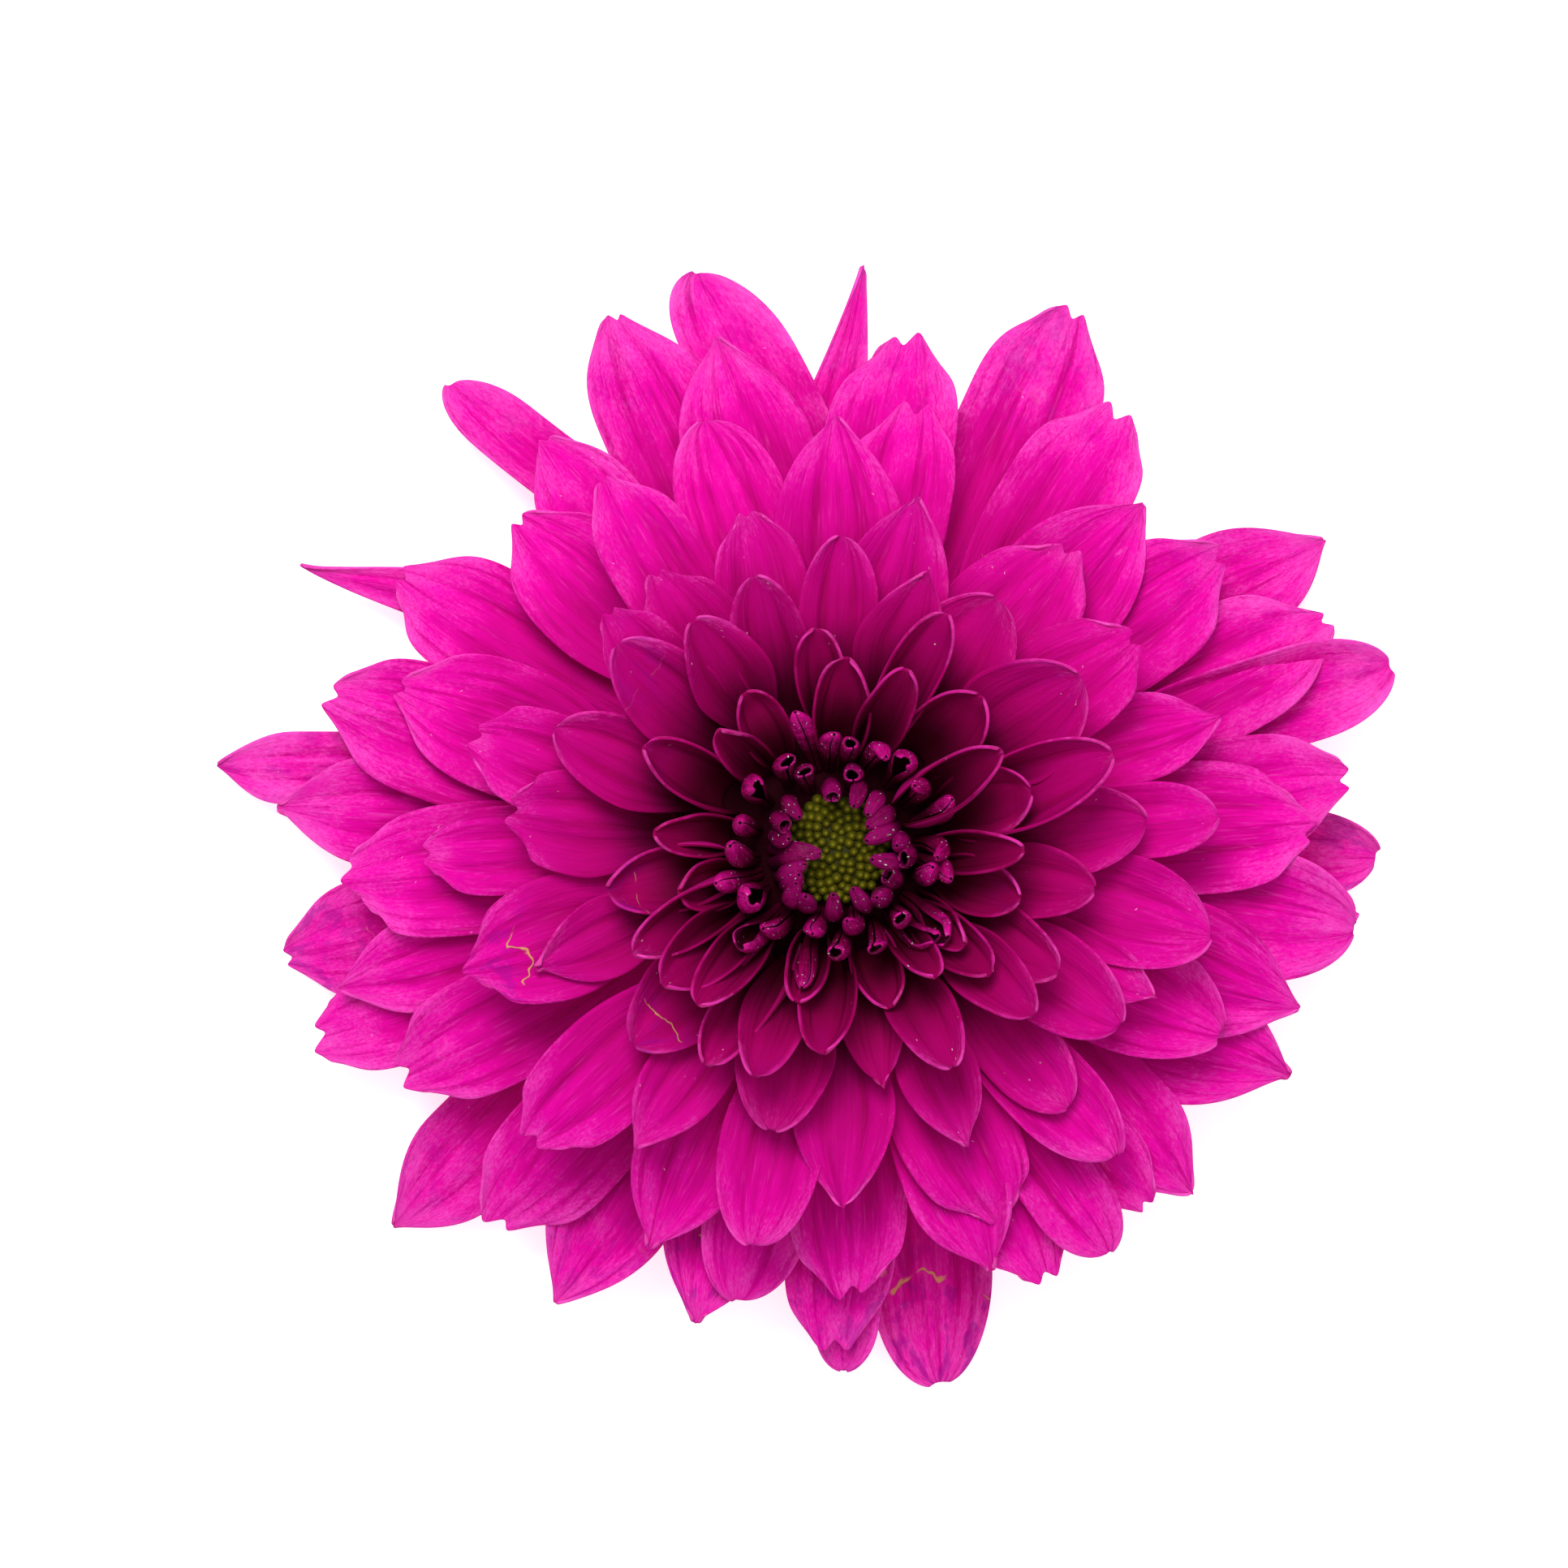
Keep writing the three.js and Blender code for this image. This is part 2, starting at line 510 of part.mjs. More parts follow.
const box = new THREE.Box3().setFromObject(group);
const middle = box.getCenter(new THREE.Vector3());
group.children.forEach((mesh) => mesh.geometry.translate(-middle.x, -middle.y, -box.min.z));

export default group;
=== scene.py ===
import math
import random

import bmesh
import bpy
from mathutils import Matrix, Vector


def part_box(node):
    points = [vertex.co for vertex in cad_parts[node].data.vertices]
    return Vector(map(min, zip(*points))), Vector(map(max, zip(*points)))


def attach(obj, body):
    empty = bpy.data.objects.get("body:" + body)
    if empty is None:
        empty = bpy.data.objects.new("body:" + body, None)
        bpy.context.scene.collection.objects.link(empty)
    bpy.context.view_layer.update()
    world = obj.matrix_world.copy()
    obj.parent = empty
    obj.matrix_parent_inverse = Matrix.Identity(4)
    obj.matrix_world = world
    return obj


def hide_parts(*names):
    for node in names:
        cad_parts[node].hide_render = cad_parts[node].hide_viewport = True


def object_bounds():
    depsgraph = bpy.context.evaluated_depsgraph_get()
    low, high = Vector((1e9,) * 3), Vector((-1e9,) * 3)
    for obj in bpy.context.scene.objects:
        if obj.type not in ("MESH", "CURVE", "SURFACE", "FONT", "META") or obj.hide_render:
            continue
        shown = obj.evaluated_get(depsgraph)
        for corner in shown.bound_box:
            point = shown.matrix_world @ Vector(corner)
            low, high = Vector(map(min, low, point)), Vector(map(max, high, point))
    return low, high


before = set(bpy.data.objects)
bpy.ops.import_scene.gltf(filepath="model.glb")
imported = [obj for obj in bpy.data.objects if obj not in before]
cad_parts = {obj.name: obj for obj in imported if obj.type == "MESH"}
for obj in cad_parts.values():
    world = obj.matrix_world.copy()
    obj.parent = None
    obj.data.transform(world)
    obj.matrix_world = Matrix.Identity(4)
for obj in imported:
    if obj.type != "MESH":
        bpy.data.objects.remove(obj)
solid_low, solid_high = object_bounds()

# ---- Sizes in millimetres, as the solids have them ------------------------------------------------
MM = 0.001
GAP = 0.22  # between two pieces that touch on the real flower
HEAD_RADIUS = 43.0
RECEPTACLE_RADIUS = 12.0
UNDERSIDE_DEPTH = 4.6  # of the receptacle below its rim
EYE_RADIUS = 3.5
EYE_RISE = 0.9  # height of the eye's dome
BUD_RADIUS = 0.4
STALK_RADIUS = 2.2
STALK_FLARE = 0.9  # how much wider the stalk gets where it meets the head
STALK_RIBS = 7
BRACTS = 13  # in each of the two whorls
CLAW_WIDTH = 1.1  # the narrow foot of a ray floret
LOWEST_RISE = math.radians(-3)  # at which the lowest rays leave the receptacle
DOME_BEND = 11  # how strongly the middle whorls bend outwards and down
QUILL_RADIUS = 0.62
QUILL_FOOT_RADIUS = 0.34
OUTER_QUILL_LENGTH = 6.4
INNER_QUILL_LENGTH = 4.4

# ---- Sizes of the finer pieces, in millimetres -----------------------------------------------------
BLADE_THICKNESS = 0.24
QUILL_THICKNESS = 0.16
BRACT_THICKNESS = 0.4
BRACT_WIDTH = 5.4
BRACT_LENGTH = 8.0
BUDS = 120
EYE_SOCKET_RISE = 0.35  # of the buds' middles above the eye's seat
NUDGE = 0.09  # mm by which a bud may stand out of its place
GOLDEN_ANGLE = math.pi * (3 - math.sqrt(5))

# Faces across and along one blade of each kind.
OUTER_GRID = (16, 22)
INNER_GRID = (12, 16)
QUILL_GRID = (10, 14)
BRACT_GRID = (8, 12)

FURLED_PAST = 60  # degrees of roll past which a floret counts as furled, and its foot closes more
WIDENED_FROM = 3  # which joined whorl is the first of those whose florets are widened
INNER_WIDENING = 1.18
SETTLING = 0.65  # share of the empty levels below a floret that its tip sinks through

# ---- Camera, light and table -----------------------------------------------------------------------
LENS = 150.0
SENSOR = 36.0
VIEW_WIDTH = 106.4  # mm that the view spans, VIEW_HEIGHT above the table
VIEW_HEIGHT = 10.0
VIEW_MIDDLE = (-1.24, 3.04)  # mm, so that the head lies a little low and right of the middle
WORLD_LIGHT = 0.34
LIGHTS = (
    # name, place in metres, width in metres, power in watts
    ("key", (-0.1, 0.38, 0.8), 0.4, 6.3),
    ("top", (0.1, 0.0, 1.0), 0.6, 2.5),
)
TABLE_HALF_WIDTH = 3  # metres

receptacle_low, receptacle_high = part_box("receptacle")
AXIS = (receptacle_low + receptacle_high) / 2
RIM_HEIGHT = receptacle_low.z + UNDERSIDE_DEPTH * MM
FLOOR = -RIM_HEIGHT / MM

# ---- Ray florets -----------------------------------------------------------------------------------
# Tip shapes. end: share of the width left at the very end. full and blunt: how long the outline stays
# wide and how round it closes. taper: how long the part that narrows is, as a share of the width.
# teeth: into how many the end is cut. roll: half the angle, in degrees, through which the blade is
# rolled up. curl: how far the tip turns up, in mm. solid: share of the width left at its solid's end.
TIPS = {
    "wisp": {"end": 0.03, "full": 1.2, "blunt": 1.1, "taper": 2.2, "teeth": 1,
             "roll": 30, "curl": 0.2, "solid": 0.16},
    "notched": {"end": 0.36, "full": 2.0, "blunt": 0.9, "taper": 0.85, "teeth": 2,
                "roll": 15, "curl": -0.5, "solid": 0.5},
    "pointed": {"end": 0.05, "full": 1.7, "blunt": 0.9, "taper": 0.85, "teeth": 1,
                "roll": 20, "curl": -0.4, "solid": 0.16},
    "round": {"end": 0.08, "full": 2.3, "blunt": 0.6, "taper": 0.85, "teeth": 1,
              "roll": 34, "curl": -0.1, "solid": 0.5},
    "curled": {"end": 0.16, "full": 2.1, "blunt": 0.75, "taper": 0.85, "teeth": 1,
               "roll": 44, "curl": 0.5, "solid": 0.4},
    "folded": {"end": 0.08, "full": 2.3, "blunt": 0.6, "taper": 0.85, "teeth": 1,
               "roll": 80, "curl": 0.2, "solid": 0.25},
    "spoon": {"end": 0.08, "full": 2.6, "blunt": 0.5, "taper": 0.85, "teeth": 1,
              "roll": 68, "curl": 0.25, "solid": 0.5},
}

# Azimuth of the tip in degrees from +X, its reach from the axis and the blade's width in mm, and the
# tip's shape; where they show, also how many degrees the blade sways on its way to the tip, how far
# its tip curls up in mm, and how bruised it is from 0 to 1.
SEPARATE_RAYS = [
    (172.7, 43, 5, "pointed", 10, 0.5, 0.5), (130, 40.6, 4.6, "curled", 18, 1, 0.3),
    (152, 41, 4.5, "wisp", 24, 1, 0.3), (103.3, 41, 7.4, "round", 18, 0, 0.3),
    (65.8, 41.5, 9, "notched", 0, 0, 0.5), (221, 40.5, 7.5, "pointed", 5, 0.5, 0.4),
    (31.8, 40.3, 7.8, "pointed", -9, 0, 0.2), (18.5, 39.1, 6.5, "curled", 0, 1.5, 0.4),
    (86.8, 39.6, 5, "wisp", -14, 1, 0.4), (112.5, 40, 8.5, "notched", 2, 0, 0.3),
    (191.5, 39.7, 8.3, "notched", 2, 0, 0.8), (200, 39, 8, "notched", -1, 0, 0.1),
    (176, 38.5, 7.5, "pointed", 2, 0, 0.2), (281.5, 36.8, 8.2, "curled", -8, 1.5, 1),
    (25, 38, 9, "notched", 4, 0, 0.3), (238.5, 36.5, 8.5, "pointed", 0, 1, 0.5),
    (359, 36.5, 6.5, "curled", 1, 1.5, 0.7), (103, 36, 9, "pointed", 3, 0, 0),
    (148, 36, 8.5, "notched", 1, 0, 0.1), (271, 36, 4.5, "round", -5, 0, 0.9),
    (353, 36, 4.5, "round", 2, 0, 0.2), (56.8, 36.8, 8.5, "notched", 1, 0, 0.2),
    (163.5, 36.7, 9, "notched", -3, 0, 0.1), (228, 35.5, 8.5, "notched", 0, 0, 0.2),
    (196, 35.5, 6.5, "pointed", 1, 0, 0.1), (82, 36, 9, "notched", -2, 0, 0.3),
    (7.5, 35.8, 8, "notched", 2, 0, 0.1), (351, 35.8, 9, "round", 1, 0, 0.2),
    (270, 34.5, 7.5, "notched", -4, 0.5, 0.8), (126, 34.5, 7, "notched", 3, 0, 0),
    (184, 34, 9, "notched", 2, 0, 0.1), (333.2, 34.7, 9.2, "pointed", 9, 0, 0.2),
    (208, 34, 8, "notched", 0, 0, 0.1), (37, 33.5, 9, "notched", -2, 0, 0.3),
    (316, 34, 6.8, "pointed", -5, 0, 0.3), (253.7, 33.7, 7.8, "pointed", 3, 0.5, 0.9),
    (3, 33, 9, "notched", 0, 0, 0), (341, 33.5, 9, "pointed", 0, 0, 0.2),
    (311, 32.5, 6, "notched", 2, 0, 0.4), (296, 33, 8, "notched", -2, 0, 0.2),
    (304, 33, 5.5, "round", 1, 0, 0.2), (160, 32, 9, "notched", -1, 0, 0),
    (48, 31.5, 9, "pointed", -2, 0, 0.1), (258, 31.5, 7, "round", 1, 0, 0.2),
    (134, 31.5, 9, "notched", 3, 0, 0), (272, 31, 8, "notched", 0, 0, 0.2),
    (80, 31, 7.5, "notched", 0, 0, 0), (290, 30.5, 7, "pointed", 0, 0, 0.1),
]
JOINED_WHORLS = [
    [
        (107, 30, 7.5, "round"), (245, 30, 7.5, "pointed"), (122, 29.5, 6.5, "notched"),
        (90, 29, 9, "pointed"), (224, 29, 7.5, "notched"), (181, 28.5, 6, "notched"),
        (334, 28.5, 8.5, "curled"), (294, 28, 8, "notched"), (19, 27.5, 6, "pointed"),
        (312, 27.5, 6, "curled"), (258, 27, 7, "round"), (198, 26.5, 8.5, "notched", 0, 0, 0.9),
        (52, 26, 9, "notched"), (163, 26, 7, "notched"), (5, 25.5, 5, "round"),
        (347, 25.5, 7.5, "round"), (35, 25, 8, "notched"),
    ],
    [
        (77, 24, 8, "pointed"), (236, 24, 5.5, "pointed"), (271, 24, 7, "pointed"),
        (105, 23.5, 6.5, "notched"), (335, 23.5, 4, "pointed"), (312, 23, 5.5, "round"),
        (174, 22.5, 7.5, "notched"), (123, 22, 6.5, "notched"), (134, 22, 5.5, "notched"),
        (328, 22, 6.5, "round"), (294, 21.5, 5.5, "pointed"), (202, 21.5, 5.5, "pointed"),
    ],
    [
        (5, 20.5, 5.5, "round"), (89, 20.5, 4.5, "round"), (157, 20, 5, "round"),
        (57, 19.5, 7, "round"), (137, 19.5, 5.5, "round", 0, 0, 0.5), (35, 19.5, 7.5, "round"),
        (72, 19, 6, "pointed"), (257, 19, 6, "round"), (19, 19, 4.5, "folded"),
        (107, 18.5, 4.5, "round"), (224, 18.5, 5.5, "round", 0, 0, 0.8), (122, 17.5, 5, "round"),
        (351, 17, 4.5, "round"), (65, 17, 3, "folded"),
    ],
    [
        (331, 16.5, 4, "round"), (320, 16.5, 4, "round"), (239, 16.5, 3, "folded"),
        (281, 16, 4, "pointed"), (298, 16, 4, "round"), (190, 15.5, 4, "folded", 0, 0, 0.8),
        (250, 15.5, 4, "round"), (207, 15, 3, "folded"), (95, 14.5, 3, "spoon"),
        (152, 14.5, 3, "folded"), (218, 14.5, 4, "spoon"), (47, 14, 4.5, "spoon"),
    ],
    [
        (16, 13.5, 4.5, "spoon"), (228, 13.5, 3, "spoon"), (266, 13.5, 3.5, "spoon"),
        (321, 13, 3, "spoon"), (31, 12.5, 3, "folded"), (87, 12.5, 3.5, "spoon"),
        (69, 12.5, 3, "spoon"), (345, 12.5, 3.5, "spoon"), (175, 12, 2.5, "folded"),
        (0, 12, 2.5, "folded"), (121, 12, 3, "spoon"), (289, 11, 3, "spoon"),
        (195, 11, 3, "spoon"), (135, 11, 2.5, "folded"), (323, 10.5, 2.2, "spoon"),
        (255, 10.5, 2.5, "spoon"), (308, 10.5, 2.2, "spoon"),
    ],
]

# Rolled florets. end: share of the tube's radius left at its mouth. wrap: half the angle, in radians,
# that it is rolled through there. hook: how far the tip bends in, in mm. stout: share of the girth.
QUILL_SHAPES = {
    "hood": {"end": 0.03, "wrap": 3.14, "hook": 0.3, "stout": 1.05},
    "mouth": {"end": 0.6, "wrap": 3.05, "hook": 0.5, "stout": 0.88},
    "hook": {"end": 0.03, "wrap": 3.14, "hook": 1.2, "stout": 0.8},
    "open": {"end": 0.3, "wrap": 2.3, "hook": 0.8, "stout": 1.2},
}
# Azimuth of the tip in degrees, its reach from the axis in mm, and its shape.
OUTER_QUILLS = [
    (325, 9.8, "open"), (255, 9.5, "hood"), (227, 9.5, "open"), (104, 9.5, "hood"),
    (309, 9.2, "open"), (18, 8.4, "hood"), (52, 8.0, "open"), (352, 7.9, "hood"),
    (71, 7.8, "hook"), (95, 7.7, "hood"), (4, 7.6, "hook"), (33, 7.6, "hook"),
    (83, 7.4, "mouth"), (296, 7.4, "mouth"), (236, 7.3, "hood"), (274, 7.2, "mouth"),
    (187, 7.2, "hood"), (209, 7.2, "open"), (125, 7.0, "mouth"), (313, 6.6, "mouth"),
    (167, 6.8, "hood"), (146, 7.4, "open"), (341, 6.6, "hood"), (198, 8.4, "hood"),
]
INNER_QUILLS = [
    (256, 6.0, "hood"), (114, 5.9, "mouth"), (286, 5.8, "hook"), (357, 4.9, "mouth"),
    (77, 5.4, "mouth"), (135, 4.4, "hook"), (70, 4.2, "hook"), (316, 4.4, "hood"),
    (52, 4.2, "hook"), (232, 4.6, "hook"), (331, 4.2, "mouth"), (34, 3.7, "hook"),
    (347, 3.6, "hook"), (268, 4.2, "hook"), (244, 4.0, "hood"), (299, 4.0, "hook"),
    (95, 3.9, "mouth"), (20, 3.2, "hook"), (180, 2.2, "hook"), (193, 2.6, "hook"),
    (168, 3.5, "hood"), (207, 3.5, "hook"), (8, 4.2, "hood"), (218, 3.3, "hood"),
    (152, 4.2, "mouth"),
]


# ---- Small helpers ---------------------------------------------------------------------------------
def mix(low, high, share):
    return low + (high - low) * share


def smooth(value, low, high):
    share = min(1.0, max(0.0, (value - low) / (high - low)))
    return share * share * (3 - 2 * share)


def outward(azimuth):
    return Vector((math.cos(azimuth), math.sin(azimuth), 0))


def across(azimuth):
    return Vector((math.sin(azimuth), -math.cos(azimuth), 0))


def in_frame(point):
    """A point in mm from the axis, in the rim's plane, as a point of the row frame in metres."""
    return Vector((AXIS.x + point.x * MM, AXIS.y + point.y * MM, RIM_HEIGHT + point.z * MM))


def on_receptacle(radius):
    return math.acos(radius / RECEPTACLE_RADIUS)


eye_seat = EYE_RADIUS + BUD_RADIUS / 2
inner_quill_seat = eye_seat + GAP + QUILL_FOOT_RADIUS
outer_quill_seat = inner_quill_seat + 2 * QUILL_FOOT_RADIUS + 2 * GAP
HIGHEST_RISE = on_receptacle(outer_quill_seat + QUILL_FOOT_RADIUS + 2 * GAP)
EYE_HEIGHT = RECEPTACLE_RADIUS * math.sin(on_receptacle(eye_seat))

# ---- Which floret lies on which --------------------------------------------------------------------
chance = random.Random(11)


class Ray:
    """One ray floret, with the small differences that make it its own. fall: how far the sides of its
    end lie behind the middle, or its teeth before their notch, in mm. furl: how much further it is
    rolled at its foot. sway: how far it bends sideways on its way. wave: the ripple of its edges."""

    def __init__(self, azimuth, reach, width, tip, sway=None, curl=0.0, bruise=None):
        shape = TIPS[tip]
        self.azimuth = math.radians(azimuth)
        self.reach = float(reach)
        self.width = float(width)
        self.full = shape["full"]
        self.blunt = shape["blunt"]
        self.taper = shape["taper"]
        self.end = shape["end"]
        self.solid_end = shape["solid"]
        cut = chance.random()
        self.fall = 0.5 if tip in ("pointed", "wisp") else 0.0
        self.teeth = [(0.0, 0.0)]
        if shape["teeth"] > 1:
            self.end *= mix(0.6, 1.35, cut)
            self.fall = mix(1.3, 2.9, cut) * self.width / 8
            lean = chance.uniform(-0.12, 0.12)
            self.teeth = [(lean - 0.42, chance.uniform(0, 0.3)), (lean + 0.42, chance.uniform(0, 0.3))]
            if chance.random() < 0.3:
                self.teeth = [(-0.66, 0.5), (lean, 0.0), (0.66, chance.uniform(0.2, 0.6))]
        self.roll = math.radians(shape["roll"]) * chance.uniform(0.7, 1.25)
        self.furl = 1.6 if shape["roll"] > FURLED_PAST else 1.25
        self.sway = math.radians(chance.uniform(-4, 4) if sway is None else sway)
        self.curl = shape["curl"] + curl + chance.uniform(-0.2, 0.3)
        self.twist = math.radians(chance.uniform(-12, 12))
        self.wave = chance.uniform(0.1, 0.4)
        self.wave_start = chance.uniform(0, 6)
        self.bruise = chance.uniform(0, 0.25) if bruise is None else bruise
        self.tint = chance.random()
        self.level = 0
        self.foot = RECEPTACLE_RADIUS


whorls = [[Ray(*row) for row in whorl] for whorl in [SEPARATE_RAYS, *JOINED_WHORLS]]
rays = [ray for whorl in whorls for ray in whorl]


def solid_width(ray, s):
    """The width of the floret's solid, which settles what lies on what."""
    spread = mix(CLAW_WIDTH, ray.width, smooth(s, 0, 0.6))
    return spread * mix(1, ray.solid_end, smooth(s, 0.7, 1.04) ** 1.4)


def cross(one, other):
    """Whether two florets' solids would meet if they lay on one level."""
    turn = abs(one.azimuth - other.azimuth) % math.tau
    apart = min(turn, math.tau - turn)
    near = max(one.foot, other.foot)
    far = min(one.reach, other.reach)
    checks = 12
    for i in range(checks + 1):
        radius = mix(near, far, i / checks)
        widths = [solid_width(r, (radius - r.foot) / (r.reach - r.foot)) for r in (one, other)]
        if math.sin(apart / 2) * 2 * radius < sum(widths) / 2 + 2 * GAP:
            return True
    return False


for i, ray in enumerate(rays):
    ray.foot = RECEPTACLE_RADIUS * math.cos(mix(LOWEST_RISE, HIGHEST_RISE, i / len(rays)))
levels = 0
for whorl in whorls:
    first = levels
    for i, ray in enumerate(whorl):
        under = [other.level + 1 for other in whorl[:i] if cross(ray, other)]
        ray.level = max([first, *under])
        levels = max(levels, ray.level + 1)

# A floret sinks at its tip through part of the empty levels between it and the ones it lies on.
for i, ray in enumerate(rays):
    beneath = [other.level for other in rays[:i] if cross(ray, other)]
    ray.sag = SETTLING * (ray.level - 1 - max(beneath, default=-1))

for whorl in whorls[WIDENED_FROM:]:
    for ray in whorl:
        ray.width *= INNER_WIDENING

RISE_STEP = (HIGHEST_RISE - LOWEST_RISE) / (levels - 1)
LOWEST_ARCH = (HEAD_RADIUS * math.tan(LOWEST_RISE) - FLOOR) / (HEAD_RADIUS - RECEPTACLE_RADIUS) ** 2
WHOLE_RISE = HIGHEST_RISE - LOWEST_RISE
DOME_ARCH = DOME_BEND * RECEPTACLE_RADIUS * WHOLE_RISE / (HEAD_RADIUS - RECEPTACLE_RADIUS) ** 2


def rise(level):
    return LOWEST_RISE + level * RISE_STEP


def on_level(level, radius):
    """Height and slope, at a distance from the axis, of the surface that one level lies on."""
    share = level / (levels - 1)
    arch = (1 - share) * (LOWEST_ARCH + DOME_ARCH * share * share)
    out = radius - RECEPTACLE_RADIUS * math.cos(rise(level))
    height = radius * math.tan(rise(level)) - arch * out * out
    return height, math.tan(rise(level)) - 2 * arch * out


# ---- Blades ----------------------------------------------------------------------------------------
def half_width(ray, s):
    """Half the blade's width at share s of its length. It narrows beyond its widest place."""
    spread = mix(CLAW_WIDTH, ray.width, smooth(s, -0.12, 0.55)) / 2
    length = ray.reach - ray.foot
    widest = max(0.35, 1 - (ray.taper * ray.width + 0.5) / length)
    past = max(0.0, (s - widest) / (1 - widest))
    return spread * mix(ray.end, 1, max(0.0, 1 - past**ray.full) ** ray.blunt)


def tooth_line(ray, u):
    """How far behind the blade's reach its end lies, in mm."""
    if len(ray.teeth) == 1:
        return ray.fall * u * u
    return ray.fall * min(abs(u - spot) ** 1.15 + back for spot, back in ray.teeth)


def blade_point(ray, u, s):
    """A point of the blade's upper face: u runs from -1 to 1 across it and s from foot to tip."""
    start = (RECEPTACLE_RADIUS - 0.2) * math.cos(rise(ray.level))
    along = mix(start, ray.reach, s) - tooth_line(ray, u) * smooth(s, 0.7, 1) ** 2
    rolled = ray.roll * mix(ray.furl, 1, smooth(s, 0.1, 0.7)) * mix(1, 0.8, smooth(s, 0.7, 1))
    half = half_width(ray, s)
    side = half * math.sin(rolled * u) / math.sin(rolled)
    lift = half * (1 - math.cos(rolled * u)) / math.sin(rolled)
    groove = math.exp(-(((abs(u) - 0.36) / 0.13) ** 2)) - 0.5 * math.exp(-((u / 0.15) ** 2))
    lift -= 0.028 * ray.width * groove * smooth(s, 0.15, 0.45) * (1 - smooth(s, 0.82, 0.98))
    lift += ray.wave * u * u * math.sin(ray.wave_start + 9 * s + 1.5 * u) * smooth(s, 0.3, 0.8)
    lift += ray.curl * smooth(s, 0.6, 1) ** 2
    turn = ray.twist * smooth(s, 0.2, 1)
    side, lift = (
        side * math.cos(turn) - lift * math.sin(turn),
        side * math.sin(turn) + lift * math.cos(turn),
    )
    azimuth = ray.azimuth - ray.sway * (1 - s) ** 1.4
    point = outward(azimuth) * along + across(azimuth) * side
    radius = math.hypot(point.x, point.y)
    height, slope = on_level(ray.level - ray.sag * smooth(s, 0.15, 0.9), radius)
    if ray.level == 0:
        tip_height = on_level(0, ray.reach)[0]
        height -= (tip_height - FLOOR) * smooth(radius, ray.foot, ray.reach)
    steep = math.hypot(1, slope)
    away = point / radius
    point.z = height + (lift + BLADE_THICKNESS) / steep
    return point - away * (slope * lift / steep)


def new_mesh_object(name, sheet, materials):
    mesh = bpy.data.meshes.new(name)
    sheet.to_mesh(mesh)
    sheet.free()
    piece = bpy.data.objects.new(name, mesh)
    bpy.context.scene.collection.objects.link(piece)
    for material in materials:
        mesh.materials.append(material)
    for polygon in mesh.polygons:
        polygon.use_smooth = True
    return piece


def thicken(piece, thickness, backs=1, refine=1):
    """Gives a sheet its thickness on its lower side, with the second material there."""
    wall = piece.modifiers.new("thickness", "SOLIDIFY")
    wall.thickness = thickness * MM
    wall.offset = -1
    wall.material_offset = backs
    wall.material_offset_rim = 0
    round_off = piece.modifiers.new("rounding", "SUBSURF")
    round_off.levels = refine
    round_off.render_levels = refine


def add_blade(sheet, place, grid, tint, ring, bruise, width, length):
    """Adds one bent blade to a sheet. Its rows stand closer together towards the tip. The layer blade
    holds the place on it in shares, flat in mm, look its tint and ring_share, and harm its bruising."""
    layers = {}
    for name in ("blade", "flat", "look", "harm"):
        layers[name] = sheet.loops.layers.uv.get(name) or sheet.loops.layers.uv.new(name)
    made = bmesh.ops.create_grid(sheet, x_segments=grid[0], y_segments=grid[1], size=1)["verts"]
    spots = {vert: (vert.co.x, 1 - (1 - (vert.co.y + 1) / 2) ** 1.5) for vert in made}
    for face in {face for vert in made for face in vert.link_faces}:
        for loop in face.loops:
            u, s = spots[loop.vert]
            loop[layers["blade"]].uv = ((u + 1) / 2, s)
            loop[layers["flat"]].uv = (u * width / 2, s * length)
            loop[layers["look"]].uv = (tint, ring)
            loop[layers["harm"]].uv = (bruise, 0)
    for vert, (u, s) in spots.items():
        vert.co = in_frame(place(u, s))


def ring_share(radius):
    """How far in a floret of this reach stands, from 0 at the head's edge to 1 at the eye."""
    return 1 - min(1.0, radius / HEAD_RADIUS)


def add_ray(sheet, ray, grid):
    def place(u, s):
        return blade_point(ray, u, s)

    ring = ring_share(ray.reach)
    length = ray.reach - ray.foot
    add_blade(sheet, place, grid, ray.tint, ring, ray.bruise, ray.width, length)


